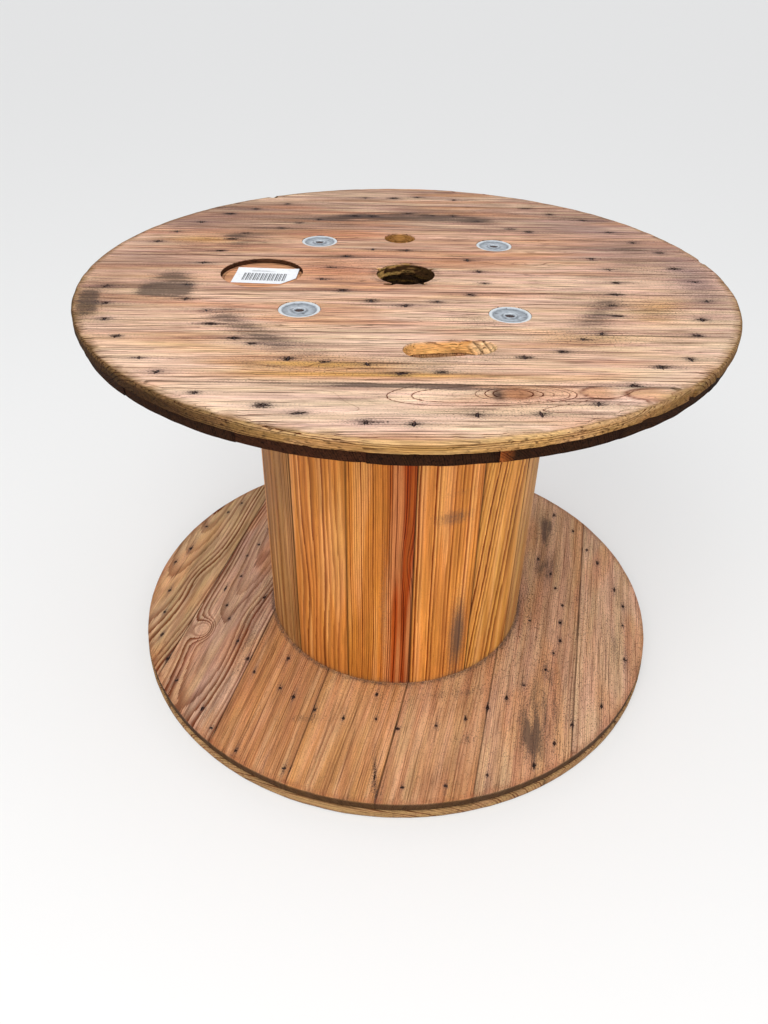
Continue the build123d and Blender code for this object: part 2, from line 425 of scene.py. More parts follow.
def softwood(name, late, year, fibres, cracks, shine, rough, relief, fray):
    """Softwood, from the growth rings, tints and marks that are painted on each piece.

    late is the colour of the summer growth, by which the tint is multiplied, and year is how strong
    it is through one year. fibres says how much the fibres vary the brightness, and cracks how dark
    the drying cracks show. shine is the strength of the reflection, and rough its roughness. relief
    is the height in metres to which the fibres stand. fray breaks up the edges of stains.
    """
    shader, add = new_material(name)
    grain = add("Attribute", output="Vector", attribute_name="grain")
    rings = add("Attribute", output="Fac", attribute_name="rings")
    tint = add("Attribute", output="Color", attribute_name="tint")
    marks = add("Attribute", output="Color", attribute_name="marks")
    grit = marks.node.outputs["Alpha"]
    iron, dirt, figure = add("SeparateColor", marks).node.outputs
    # Features to the metre along the grain and across it: fibres are 80 mm by 2 mm, hairs 30 mm by
    # 0.9 mm, streaks 60 mm by 5 mm, clouds 200 mm by 40 mm, hues 120 mm by 14 mm, checks 140 mm by
    # 6 mm, cracks 110 mm by 2.4 mm, scratches 25 mm, lumps of dirt 60 mm, and specks 2 mm
    spread = {}
    for key, scale, detail in (("fibre", (12, 500, 500), 4), ("hair", (33, 1100, 1100), 3),
                               ("streak", (16, 190, 190), 4), ("cloud", (5, 26, 26), 3),
                               ("hue", (8, 70, 70), 2), ("check", (7, 170, 170), 2),
                               ("crack", (9, 420, 420), 3), ("scratch", (34, 46, 46), 2),
                               ("lump", (14, 24, 24), 2), ("speck", (420, 620, 620), 2)):
        place = add("Mapping", {"Vector": grain, "Scale": scale})
        spread[key] = add("TexNoise", {"Vector": place, "Scale": 1, "Detail": detail})
    fibre, hair = spread["fibre"], spread["hair"]
    # Rings: pale spring growth that darkens to a hard summer line. The tint's alpha is the summer
    # line's share of the year, so that it keeps its width in wide rings
    band = tint.node.outputs["Alpha"]
    uneven = add("Math", hair, 0.32, fibre, operation="MULTIPLY_ADD")
    uneven = add("Math", uneven, band, operation="MULTIPLY")
    phase = add("Math", uneven, 2.3, rings, operation="MULTIPLY_ADD")
    share = add("Math", phase, operation="FRACT")
    begin = add("Math", 1, band, operation="SUBTRACT")
    share = add("MapRange", share, begin, 1, 0.78, 1, clamp=False)
    profile = add("ValToRGB", share)
    stops = profile.node.color_ramp.elements
    for stop, (place, grey) in zip(list(stops) + [stops.new(0.5) for _ in year[2:]], year):
        stop.position = place
        stop.color = (grey, grey, grey, 1)
    lean_year = add("TexNoise", {"W": phase, "Scale": 0.43, "Detail": 1}, noise_dimensions="1D")
    lean_year = add("MapRange", lean_year, 0.38, 0.62, 0.12, 1)
    summer = add("Math", profile, lean_year, operation="MULTIPLY")
    summer = add("Math", summer, figure, operation="MULTIPLY")
    dark = add("Mix", {0: 1, 6: tint, 7: late}, **TIMES)
    colour = add("Mix", {0: summer, 6: tint, 7: dark}, **MIX)
    # Fibres, hairs, streaks and clouds vary the brightness, and the hue drifts from rose to straw
    for key, reach in (("fibre", fibres), ("hair", fibres), ("streak", 0.6 * fibres), ("cloud", 0.1)):
        shade = add("MapRange", spread[key], 0.36, 0.64, 1 - reach, 1 + reach)
        colour = add("Mix", {0: 1, 6: colour, 7: shade}, **TIMES)
    hue = add("MapRange", spread["hue"], 0.35, 0.65)
    hue = add("Mix", {0: hue, 6: (1, 0.95, 0.96, 1), 7: (1, 1.03, 0.92, 1)}, **MIX)
    colour = add("Mix", {0: 1, 6: colour, 7: hue}, **TIMES)
    # Drying checks and scratches are thin dark lines, where a noise crosses its middle
    lines = []
    for key, width, mask, low, high in (("check", 0.010, "cloud", 0.5, 0.62),
                                        ("scratch", 0.009, "lump", 0.56, 0.68)):
        far = add("Math", spread[key], 0.5, operation="SUBTRACT")
        far = add("Math", far, operation="ABSOLUTE")
        line = add("MapRange", far, 0, width, 1, 0)
        where = add("MapRange", spread[mask], low, high)
        lines.append(add("Math", line, where, operation="MULTIPLY"))
    lines[1] = add("Math", lines[1], grit, operation="MULTIPLY")
    # Short cracks lie apart, where a noise is at its lowest
    lines.append(add("MapRange", spread["crack"], 0.39, 0.33))
    line = lines[0]
    for other in lines[1:]:
        line = add("Math", line, other, operation="MAXIMUM")
    line = add("Math", line, cracks, operation="MULTIPLY")
    cracked = add("Mix", {0: 1, 6: tint, 7: "#6d5249"}, **TIMES)
    colour = add("Mix", {0: line, 6: colour, 7: cracked}, **MIX)
    # Grit lies in specks
    speck = add("MapRange", spread["speck"], 0.56, 0.66)
    speck = add("Math", speck, grit, operation="MULTIPLY")
    colour = add("Mix", {0: speck, 6: colour, 7: "#54402f"}, **MIX)
    # Stains have frayed edges
    rag = fibre
    for operation, value in (("ADD", hair), ("ADD", spread["speck"]), ("SUBTRACT", 1.5), ("MULTIPLY", fray)):
        rag = add("Math", rag, value, operation=operation)
    for mark, low, high, most, shade in ((dirt, 0.15, 0.85, 0.82, "#4d4039"),
                                         (iron, 0.12, 0.9, 0.66, "#474046"),
                                         (iron, 0.66, 0.86, 0.94, "#1f120e")):
        level = add("Math", mark, rag, operation="ADD")
        bare = add("MapRange", mark, 0, 0.12)
        level = add("MapRange", level, low, high, 0, most)
        level = add("Math", level, bare, operation="MULTIPLY")
        colour = add("Mix", {0: level, 6: colour, 7: shade}, **MIX)
    gloss = add("MapRange", fibre, 0.3, 0.7, rough - 0.08, rough + 0.08)
    # Summer growth and fibres stand up, and checks are sunk
    height = add("Math", summer, 0.5, fibre, operation="MULTIPLY_ADD")
    height = add("Math", hair, 0.7, height, operation="MULTIPLY_ADD")
    height = add("Math", line, -1.2, height, operation="MULTIPLY_ADD")
    bump = add("Bump", {"Strength": 0.9, "Distance": relief, "Height": height})
    feed(shader, {"Base Color": colour, "Roughness": gloss, "IOR": 1.5, "Specular IOR Level": shine,
                  "Normal": bump})


THIN_SUMMER = ((0, 0), (1, 0), (0.6, 0.05), (0.78, 0.25), (0.86, 1), (0.95, 0.9))
BROAD_SUMMER = ((0, 0), (1, 0), (0.38, 0.06), (0.58, 0.7), (0.88, 1), (0.95, 0.95))


def weathered_spruce():
    """Sawn spruce that has stood outdoors: bleached, with raised summer rings and frayed stains."""
    softwood("weathered_spruce", "#7f4e3a", THIN_SUMMER, fibres=0.2, cracks=0.8, shine=0.05, rough=0.8,
             relief=0.0015, fray=1.3)


def trodden_spruce():
    """Sawn spruce of the lower flange: less bleached, worn smoother, sandy."""
    softwood("trodden_spruce", "#94684f", BROAD_SUMMER, fibres=0.13, cracks=0.5, shine=0.08, rough=0.8,
             relief=0.0009, fray=1.1)


def planed_pine():
    """Planed pine of the barrel: smooth and warm, with a soft gloss and broad summer growth."""
    softwood("planed_pine", "#7b4820", BROAD_SUMMER, fibres=0.1, cracks=0.3, shine=0.08, rough=0.55,
             relief=0.0005, fray=0.6)


def galvanised_steel():
    """Hot-dip galvanised steel: a dull blue-grey zinc skin with crystals, white where it is worn and where a
    highlight is painted, and dark with grime and painted shade in its grooves.
    """
    shader, add = new_material("galvanised_steel")
    place = add("TexCoord", output="Object")
    wear_and_shading = add("Attribute", output="Fac", attribute_name="wear_and_shading")
    # Zinc crystals 4 mm across, and bloom in patches of 10 mm
    crystals = add("TexVoronoi", {"Vector": place, "Scale": 250}, output="Distance")
    bloom = add("TexNoise", {"Vector": place, "Scale": 170, "Detail": 5})
    crystals = add("MapRange", crystals, 0.1, 0.8, 0, 0.6)
    colour = add("Mix", {0: crystals, 6: "#bcc4cb", 7: "#9198a0"}, **MIX)
    white = add("MapRange", bloom, 0.52, 0.72, 0, 0.8)
    colour = add("Mix", {0: white, 6: colour, 7: "#cdd3d8"}, **MIX)
    grime = add("MapRange", bloom, 0.42, 0.28)
    colour = add("Mix", {0: grime, 6: colour, 7: "#55565a"}, **MIX)
    # The rim is pale with wear and a painted highlight, and the grooves dark with grime and painted shade
    colour = add("Mix", {0: wear_and_shading, 6: colour, 7: "#d9dedf"}, **MIX)
    sunk = add("MapRange", wear_and_shading, 0, -1, 0, 0.7)
    colour = add("Mix", {0: sunk, 6: colour, 7: "#4d5056"}, **MIX)
    gloss = add("MapRange", bloom, 0.3, 0.7, 0.36, 0.6)
    bump = add("Bump", {"Strength": 0.5, "Distance": 0.0003, "Height": bloom})
    feed(shader, {"Base Color": colour, "Metallic": 0.35, "Roughness": gloss, "Normal": bump})


def rusty_steel():
    """Rolled steel rod and nails left bare: dark mill scale with brown rust."""
    shader, add = new_material("rusty_steel")
    place = add("TexCoord", output="Object")
    # Rust in spots of 2 mm
    spots = add("TexNoise", {"Vector": place, "Scale": 500, "Detail": 4})
    rust = add("MapRange", spots, 0.4, 0.62)
    rust = add("Mix", {0: rust, 6: "#1f1718", 7: "#4e3028"}, **MIX)
    gloss = add("MapRange", spots, 0.3, 0.7, 0.5, 0.85)
    bump = add("Bump", {"Strength": 0.5, "Distance": 0.0003, "Height": spots})
    feed(shader, {"Base Color": rust, "Metallic": 0.3, "Roughness": gloss, "Normal": bump})


def label_paper():
    """Coated label paper: white and smooth, a little dusty."""
    shader, add = new_material("label_paper")
    place = add("TexCoord", output="Object")
    # Dust in patches of 8 mm
    dust = add("TexNoise", {"Vector": place, "Scale": 220, "Detail": 3})
    dust = add("MapRange", dust, 0.5, 0.75, 0, 0.5)
    colour = add("Mix", {0: dust, 6: "#eff1f3", 7: "#d5d3d0"}, **MIX)
    feed(shader, {"Base Color": colour, "Roughness": 0.55, "Specular IOR Level": 0.4})


def label_ink():
    """Black thermal print, faded unevenly."""
    shader, add = new_material("label_ink")
    place = add("TexCoord", output="Object")
    # Fading in patches of 6 mm
    fading = add("TexNoise", {"Vector": place, "Scale": 300, "Detail": 3})
    fading = add("MapRange", fading, 0.4, 0.7)
    colour = add("Mix", {0: fading, 6: "#3f4044", 7: "#8d8f94"}, **MIX)
    feed(shader, {"Base Color": colour, "Roughness": 0.6})


def seen_plainly(add):
    """1 where the camera, a reflection or a clear body sees a surface."""
    seen = path = add("LightPath", output="Is Camera Ray")
    for ray in ("Is Glossy Ray", "Is Transmission Ray"):
        seen = add("Math", seen, path.node.outputs[ray], operation="MAXIMUM")
    return seen


def pale_floor():
    """A plain pale floor, seen nearly white, which keeps the drum's shadow."""
    shader, add = new_material("pale_floor")
    feed(shader, {"Base Color": "#e9e9e7", "Roughness": 0.9})
    share = add("Math", seen_plainly(add), 0.3, operation="MULTIPLY")
    white = add("Emission", {"Color": (1, 1, 1, 1), "Strength": 1})
    both = add("MixShader", share, shader.outputs[0], white)
    feed(shader.id_data.nodes["Material Output"], {"Surface": both})


# Growth rings and paint


class Figure:
    """How a board was cut from its log: where the pith lies and how fast the tree grew."""

    def __init__(self, pith, spacing, tilt=0.0, slope=0.0, sway=0.002, knots=(), seed=0.0):
        self.pith = pith
        self.spacing = spacing
        self.tilt = tilt
        self.slope = slope
        self.sway = sway
        self.knots = knots
        self.seed = seed

    def rings(self, local):
        """How many years lie between the pith and each point."""
        u, v, w = local.T
        wander = self.sway * np.sin(u / 0.11 + self.seed) + 0.4 * self.sway * np.sin(u / 0.04 + 2 * self.seed)
        across = v - self.pith[0] - self.slope * u - wander
        depth = w - self.pith[1] - self.tilt * u
        years = np.hypot(across, depth) / self.spacing
        for place, push, reach in self.knots:
            years = years + push * bell((u - place[0]) / reach[0], (v - place[1]) / reach[1])
        return years


def random_figure(draw):
    """A board cut anywhere from the log, chosen by a seeded draw: mostly straight lines."""
    side = draw.choice((-1, 1))
    return Figure((side * draw.uniform(0.05, 0.13), -draw.uniform(0.03, 0.08)), draw.uniform(0.0024, 0.0034),
                  draw.uniform(-0.01, 0.01), draw.uniform(-0.02, 0.02), 0.002, (), draw.uniform(0, 9))


def line_share(figure, local, width):
    """The part of a year that a summer line of one width takes up at each point."""
    step = 1e-4
    years = figure.rings(local)
    ways = (step, 0, 0), (0, step, 0)
    pace = np.hypot(*(figure.rings(local + np.array(way)) - years for way in ways)) / step
    return np.clip(width * pace, 0.03, 0.30)


def toned(points, shade, tone=1):
    """One colour for every point, made darker or paler by a tone."""
    return np.tile(np.array(linear(shade)) * tone, (len(points), 1))


def mixed(base, shade, amount):
    """Mixes a colour, in hex or linear, into each point's colour by its own amount."""
    colour = linear(shade) if isinstance(shade, str) else shade
    amount = np.clip(amount, 0, 1)[:, None]
    return base * (1 - amount) + np.array(colour) * amount


def keep(piece, name, values):
    """Keeps a value, vector or colour for each point on a piece's mesh, for the material to read."""
    values = np.asarray(values, np.float32)
    kind, key = {1: ("FLOAT", "value"), 3: ("FLOAT_VECTOR", "vector"),
                 4: ("FLOAT_COLOR", "color")}[values.size // len(values)]
    layer = piece.data.attributes.new(name, kind, "POINT")
    layer.data.foreach_set(key, values.ravel())


def paint(piece, local, rings, tint, marks, band=0.22):
    """Keeps a piece's grain, rings, tint and marks. The marks are iron, dirt, the strength of the
    figure, and grit, each one number or one for each point."""
    every = np.ones(len(tint))
    keep(piece, "grain", local)
    keep(piece, "rings", rings)
    keep(piece, "tint", np.column_stack([tint, band * every]))
    keep(piece, "marks", np.column_stack([mark * every for mark in marks]))


# Stock and cutters


def slab(along, across, length, width, thickness):
    """A flat block whose top and sides are in small fields, and whose underside is one face. It is
    left in edit mode."""
    block = start(bpy.ops.mesh.primitive_grid_add, x_subdivisions=along, y_subdivisions=across, size=1)
    edit(block)
    bpy.ops.mesh.select_all(action="SELECT")
    bpy.ops.transform.resize(value=(length, width, 1))
    bpy.ops.mesh.extrude_region_move(TRANSFORM_OT_translate={"value": (0, 0, -thickness)})
    face_outwards()
    choose(block, "FACE", lambda f: f.normal.z < -0.9)
    bpy.ops.mesh.dissolve_faces()
    return block


def sawn_stock(step):
    """A plank of sawn stock along X, in fields of one length and width, with eased long arrises."""
    width = sizes().board_width
    stock = slab(round(2 * FLANGE_RADIUS / step[0]), round(width / step[1]), 2 * FLANGE_RADIUS + 0.01,
                 width, PLY)
    edge = width / 2 - LEVEL
    choose(stock, "EDGE", lambda e: all(abs(v.co.y) > edge for v in e.verts) and rise(e) < LEVEL)
    bpy.ops.mesh.bevel(offset=sizes().board_ease, segments=2, affect="EDGES")
    return done(stock)


def turned_disc(radius, base, top_arris, foot_arris, sides, wear):
    """A ply's turned outline with its arrises. Its ends stand proud, so that only its rim cuts."""
    proud = 0.001
    disc = start(bpy.ops.mesh.primitive_cylinder_add, vertices=sides, radius=radius, depth=PLY,
                 location=(0, 0, base + PLY / 2))
    edit(disc)
    choose(disc, "EDGE", lambda e: all(v.co.z > base + PLY - LEVEL for v in e.verts))
    bpy.ops.mesh.bevel(offset=top_arris, segments=5 if top_arris > 0.004 else 2, affect="EDGES")
    choose(disc, "EDGE", lambda e: all(v.co.z < base + LEVEL for v in e.verts))
    bpy.ops.mesh.bevel(offset=foot_arris, segments=2, affect="EDGES")
    choose(disc, "EDGE", lambda e: rise(e) > 0.005)
    bpy.ops.mesh.subdivide(number_cuts=3)
    for end in (1, -1):
        choose(disc, "FACE", lambda f: f.normal.z * end > 0.9 and len(f.verts) >= sides)
        bpy.ops.mesh.inset(thickness=0.02)
        bpy.ops.transform.translate(value=(0, 0, proud * end))
    done(disc)
    worn = radius - top_arris - 0.002
    roughen(disc, "rim_wear", scale=0.028, strength=wear, middle=1.0,
            weigh=lambda co: float(co.xy.length > worn))
    return disc


def round_cutter(radius, low, high, place=(0, 0), sides=64, rows=1, rings=()):
    """A round bar from one height to another, for cutting a hole whose wall has rows of faces, and
    whose floor has rings of them, each so far within the last."""
    bar = start(bpy.ops.mesh.primitive_cylinder_add, vertices=sides, radius=radius, depth=high - low,
                location=(place[0], place[1], (low + high) / 2))
    edit(bar)
    if rows > 1:
        choose(bar, "EDGE", lambda e: rise(e) > 1e-4)
        bpy.ops.mesh.subdivide(number_cuts=rows - 1)
    if rings:
        choose(bar, "FACE", lambda f: f.normal.z < -0.9)
        for step in rings:
            bpy.ops.mesh.inset(thickness=step)
    return done(bar)


def torn_bore(low, high):
    """The spindle hole, whose wall has torn in layers where the grain lifted."""
    radius = sizes().arbor_radius
    bar = round_cutter(radius, low, high, sides=120, rows=26)
    mouth, fade = high - PAST, 0.008
    roughen(bar, "torn_grain", scale=0.009, strength=sizes().arbor_tear, middle=0.42,
            weigh=lambda co: min(1, max(0, (mouth - co.z) / fade)))
    for vertex in bar.data.vertices:
        reach = vertex.co.xy.length
        if reach < radius:
            vertex.co.xy *= radius / reach
    return bar


def slot_bore():
    """The frame of the slot's slanted bore: its foot in the inner ply, and its lean."""
    s = sizes()
    end = s.slot_shift + s.slot_length / 2 - 2 * PLY
    foot = end - (s.slot_width / 2 - SLOT_TAPER) / cos(SLOT_SLANT)
    return turned(s.slot_angle) @ moved(foot, -s.slot_line, INNER_BASE) @ turned(SLOT_SLANT, "Y")


def slot_cutters():
    """The cable slot: a straight stretch, and a round bore that leaves it at a slant."""
    s = sizes()
    run = 2 * PLY
    step = 0.002
    width = s.slot_width
    length = s.slot_length - run + step
    straight = round_cutter(width / 2, INNER_BASE - 0.002, TOP + 0.002, sides=48, rows=12)
    edit(straight)
    choose(straight, "VERT", lambda v: v.co.x > 1e-4)
    bpy.ops.transform.translate(value=(length - width, 0, 0))
    done(straight)
    shift = s.slot_shift - run / 2 + step / 2 - (length - width) / 2
    straight.data.transform(turned(s.slot_angle) @ moved(shift, -s.slot_line, 0))
    slanted = round_cutter(width / 2 - SLOT_TAPER, low=-0.06, high=0.09, sides=48, rows=100)
    slanted.data.transform(slot_bore())
    return [straight, slanted]


def groove_cutter(low, high):
    """The round groove that the staves stand in."""
    s = sizes()
    ring = round_cutter(s.barrel_radius + 0.0003, low, high, sides=180)
    edit(ring)
    choose(ring, "FACE", lambda f: len(f.verts) > 50)
    bpy.ops.mesh.inset(thickness=s.barrel_radius - s.barrel_inside + 0.0006, use_individual=True)
    bpy.ops.mesh.bridge_edge_loops()
    face_outwards()
    return done(ring)


def rod_places():
    """Where the four tie rods stand, in the order of their numbers."""
    return [polar(ROD_CIRCLE, TURN * (k + 0.5) / 4) for k in range(4)]


def through_cutters(low, high, driving, rows=1, others=()):
    """Cutters for what goes right through a flange: the spindle hole, the driving hole in its
    direction, others if there are any, and the holes of the tie rods."""
    s = sizes()
    pin = round_cutter(s.driving_radius, low, high, polar(s.driving_circle, driving), rows=rows)
    rods = [round_cutter(ROD_HOLE, low, high, place, 24) for place in rod_places()]
    return [torn_bore(low, high), pin, *others, *rods]


def seat_cutters(low, high):
    """Cutters for the nuts' seats."""
    return [round_cutter(SEAT_RADIUS, low, high, place) for place in rod_places()]


def nail_ring(x, y, radius, count, first, seed):
    """A ring of nails as they were driven, uneven, with a few missing."""
    draw = random.Random(seed)
    for k in range(count):
        angle = radians(first + 360 * k / count + draw.uniform(-2.0, 2.0))
        reach = radius + draw.triangular(-0.013, 0.013)
        if draw.random() > 0.06:
            yield x + reach * cos(angle), y + reach * sin(angle)


class Nails:
    """The nails of one flange: their places, and which way the point of each was hammered over,
    mostly across the grain."""

    def __init__(self, grain, seed, *rings):
        draw = random.Random(seed)
        self.grain = grain
        self.places = [place for ring in rings for place in nail_ring(*ring)]
        self.turns = [grain + draw.choice((0, pi / 2, pi / 2)) + draw.uniform(-0.35, 0.35)
                      for _ in self.places]


TOP_NAILS = Nails(TOP_GRAIN, 29, (-0.003, -0.012, 0.401, 42, 214, 3), (-0.002, -0.008, 0.292, 40, 217, 5),
                  (0, -0.004, 0.112, 14, 13, 7))
BOTTOM_NAILS = Nails(BOTTOM_GRAIN, 43, (-0.005, -0.004, 0.415, 43, 198, 11),
                     (0, -0.003, 0.305, 43, 223, 13), (0, 0, 0.245, 9, 225, 17))


def nail_pits(nails, height, long, wide, seed):
    """One cutter for the torn pits round a ply's nails, each of its own ragged outline."""
    draw = random.Random(seed)
    first = start(bpy.ops.mesh.primitive_cone_add, vertices=14, radius1=0.4, radius2=1.0, depth=0.008)
    pits = []
    for place, turn in zip(nails.places, nails.turns):
        pit = duplicate(first, "pit")
        for vertex in pit.data.vertices:
            if vertex.co.z > 0:
                vertex.co.xy *= draw.uniform(0.5, 1.4)
        shape = Matrix.Diagonal((long * draw.uniform(0.7, 1.3), wide * draw.uniform(0.7, 1.3), 1, 1))
        lean = turned(draw.uniform(-0.15, 0.15), "Y")
        pit.data.transform(moved(*place, height) @ turned(turn) @ lean @ shape)
        pits.append(pit)
    discard(first)
    return fuse(pits, "pits")


def chips(places, seed):
    """One cutter for the chips broken out of a ply, each a ragged lump. A chip is a place and its size."""
    draw = random.Random(seed)
    first = start(bpy.ops.mesh.primitive_ico_sphere_add, subdivisions=2, radius=0.5)
    lumps = []
    for x, y, z, long, wide, deep, turn in places:
        lump = duplicate(first, "lump")
        for vertex in lump.data.vertices:
            vertex.co *= draw.uniform(0.75, 1.2)
        shape = Matrix.Diagonal((long * MM, wide * MM, deep * MM, 1))
        lump.data.transform(moved(x * MM, y * MM, z) @ turned(radians(turn)) @ shape)
        lumps.append(lump)
    discard(first)
    return fuse(lumps, "chips")


# Marks on the flanges


def patches_on(points, patches):
    """How much each patch covers each point. A patch is a place in mm, its reach both
    ways, its turn in degrees and its strength. Above 1 it is squarish, with firm edges."""
    for x, y, reach_x, reach_y, turn, strength in patches:
        along, across = along_across(points, (x * MM, y * MM), radians(turn))
        power = 4 if strength > 1 else 2
        yield strength * np.exp(-(along / (reach_x * MM)) ** power - (across / (reach_y * MM)) ** power)


def nail_stains(points, nails, size, seed):
    """Black iron stains that creep along the grain from each nail."""
    draw = random.Random(seed)
    stain = np.zeros(len(points))
    for place in nails.places:
        along, across = along_across(points, place, nails.grain)
        strength = draw.choice((0.45, 0.65, 0.8, 0.95))
        lead = size * draw.uniform(0.014, 0.045)
        trail = size * draw.uniform(0.014, 0.045)
        reach = np.where(along > 0, lead, trail)
        tail = strength * np.exp(-np.abs(along) / reach - (across / (0.006 * size)) ** 2)
        long, wide = size * draw.uniform(0.010, 0.017), size * draw.uniform(0.0055, 0.0085)
        spot = draw.uniform(0.8, 1.05) * bell(along / long, across / wide)
        stain = np.maximum(stain, np.maximum(tail, spot))
    return stain


def pitted(points, nails, height):
    """Picks out the walls and floors of the torn pits round the nails."""
    near = np.zeros(len(points), bool)
    for place in nails.places:
        near |= away(points, place) < 0.011
    sunk = (points[:, 2] < height - 0.0002) & (points[:, 2] > height - 0.005)
    return (near & sunk).astype(float)


def by_seam(local, outer, inner):
    """Picks out a board's long sides, from so far within its edge."""
    edge = sizes().board_width / 2
    return smooth(edge - outer, edge - inner, np.abs(local[:, 1]))


# The look of each board of the upper ply, as its log was cut, from the front of the drum to its rear
TOP_FIGURES = {
    "front_3": Figure((0.030, -0.085), 0.0036, 0.0, 0.02, 0.002,
                      (((0.108, 0.048), 6.0, (0.034, 0.017)), ((0.060, 0.042), 4.5, (0.080, 0.026)),
                       ((0.152, 0.046), 3.2, (0.026, 0.013)), ((-0.02, 0.034), 2.0, (0.070, 0.024)),
                       ((0.205, 0.052), 1.5, (0.030, 0.016))), 1.0),
    "front_2": Figure((-0.095, -0.055), 0.0048, 0.0, 0.01, 0.0026,
                      (((-0.13, -0.03), 2.2, (0.05, 0.012)),), 2.0),
    "front_1": Figure((0.10, -0.045), 0.0052, 0.006, 0.004, 0.003,
                      (((-0.20, -0.01), 2.0, (0.05, 0.014)), ((0.02, 0.0), 1.4, (0.06, 0.012))), 3.0),
    "middle": Figure((-0.03, -0.060), 0.0048, -0.012, 0.0, 0.003,
                     (((0.17, 0.045), 3.0, (0.05, 0.012)), ((-0.05, 0.02), 1.6, (0.05, 0.014))), 4.0),
    "rear_1": Figure((0.08, -0.065), 0.0050, 0.0, 0.005, 0.002, (((0.19, -0.03), 3.6, (0.05, 0.013)),), 5.0),
    "rear_2": Figure((-0.06, -0.04), 0.0048, 0.004, 0.0, 0.002, (), 6.0),
    "rear_3": Figure((0.02, -0.08), 0.0050, 0.004, 0.0, 0.002, (), 7.0),
}
TOP_TONES = {"front_3": "#f0cab2", "front_2": "#f1c8ab", "front_1": "#f0c7ac", "middle": "#ecbfa6",
             "rear_1": "#e2b399", "rear_2": "#c49c88", "rear_3": "#d2ae98"}
# Patches of the table top: each colour's places, reaches, turns and strengths, in mm and degrees
TOP_PATCHES = (
    ("#dba765", ((-310, 130, 50, 24, 2, 0.6), (-330, -35, 70, 12, 2, 0.4), (330, -100, 40, 22, 30, 0.7),
                 (315, -135, 30, 16, 0, 0.5), (-90, -290, 90, 10, 2, 0.8), (-40, -313, 190, 7, 2, 0.8),
                 (230, -200, 70, 14, 2, 0.5), (-300, -250, 90, 10, 2, 0.4), (-410, -140, 16, 50, 20, 0.6),
                 (250, 60, 60, 10, 0, 0.4), (-230, -262, 80, 10, 2, 0.3))),
    ("#f2d2ba", ((-46, -226, 100, 26, 2, 0.9), (-67, -396, 190, 32, 2, 0.75), (-300, -290, 90, 44, -35, 0.6),
                 (425, -150, 22, 90, -15, 0.5), (384, -215, 40, 60, -40, 0.7), (290, -300, 70, 34, 35, 0.7),
                 (200, -372, 90, 22, 12, 0.5), (20, -152, 90, 12, 2, 0.5), (120, -205, 60, 14, 2, 0.6),
                 (60, -270, 120, 8, 2, 0.4), (300, -215, 70, 16, 2, 0.5), (180, 30, 90, 9, 2, 0.5),
                 (-150, -380, 90, 22, 2, 0.5), (-380, -200, 40, 20, 2, 0.5), (40, 250, 200, 5, 2, 0.2),
                 (240, -40, 150, 60, 0, 0.45), (150, -150, 120, 40, 0, 0.3))),
    ("#cf8c66", ((-96, 20, 90, 34, 2, 0.7), (-250, 95, 60, 18, 2, 0.4), (0, -46, 120, 18, 2, 0.4),
                 (60, 80, 90, 30, 2, 0.5), (-10, -170, 100, 7, 2, 0.5), (-200, -150, 90, 7, 2, 0.3),
                 (100, -65, 100, 10, 2, 0.3), (-100, 170, 100, 30, 2, 0.4), (250, -65, 60, 10, 2, 0.3))),
    ("#8f6a5b", ((-150, 62, 190, 5, 2, 0.5), (100, -66, 330, 4, 2, 0.5), (-180, -66, 160, 5, 2, 0.5),
                 (-120, -42, 180, 6, 2, 0.6), (330, 20, 110, 8, 2, 0.5), (-350, 30, 70, 20, 2, 0.4),
                 (0, 196, 300, 6, 2, 0.4), (280, 130, 120, 10, 2, 0.5), (-60, -170, 60, 4, 2, 0.4),
                 (150, 0, 120, 4, 2, 0.4), (20, 118, 200, 5, 2, 0.4), (0, 420, 200, 14, 2, 0.4))),
    ("#a58c8a", ((330, 120, 90, 50, 0, 0.5), (405, 30, 34, 80, 0, 0.6), (290, 230, 110, 40, -20, 0.5),
                 (-330, 230, 90, 40, 35, 0.4), (395, -60, 40, 50, 0, 0.4), (-400, 60, 40, 50, 0, 0.3))),
    ("#9c7663", ((-405, -70, 50, 90, 10, 0.6), (-265, 205, 120, 45, -20, 0.55), (-330, 60, 70, 60, 0, 0.3))),
)
TOP_DIRT = ((-320, -40, 30, 26, 3, 0.7), (-320, -82, 34, 22, 3, 1.7), (-318, -62, 34, 44, 3, 0.5),
            (-408, -130, 14, 44, 15, 1.4), (20, -336, 82, 6, 1, 1.7), (-120, -338, 90, 5, 1, 0.6),
            (20, 262, 150, 12, 2, 0.7), (-130, 245, 110, 12, 2, 0.6), (-265, 150, 20, 12, 2, 0.9),
            (330, 60, 60, 50, 0, 0.3), (410, -10, 30, 90, 0, 0.35), (-300, 300, 80, 12, 2, 0.5),
            (280, 285, 120, 14, -8, 0.5), (262, 8, 36, 4, 2, 0.6), (300, -10, 30, 4, 2, 0.6),
            (-160, -295, 40, 8, -8, 0.6), (-350, 10, 70, 5, 2, 0.5), (60, -215, 8, 3, 0, 0.5),
            (120, -152, 40, 10, 5, 0.25), (190, 200, 130, 5, 2, 0.5), (-30, 212, 150, 5, 2, 0.5),
            (360, 130, 60, 7, 2, 0.6), (-210, 190, 60, 6, 2, 0.6), (300, 170, 90, 6, 2, 0.5))
TOP_GRIT = ((-90, -290, 60, 30, 0, 1.0), (-408, -130, 30, 90, 12, 1.0), (-318, -62, 40, 50, 0, 0.6),
            (230, -200, 80, 26, 0, 0.9), (320, -110, 50, 40, 0, 0.8), (-310, 120, 60, 30, 0, 0.7),
            (90, -160, 50, 20, 0, 0.6), (0, 350, 400, 90, 0, 0.35), (120, -360, 140, 50, 0, 0.55),
            (-60, 30, 120, 60, 0, 0.5), (380, 0, 70, 160, 0, 0.5), (-240, 240, 120, 80, 0, 0.5),
            (-180, -160, 60, 20, 0, 0.4), (200, -60, 100, 30, 0, 0.35))
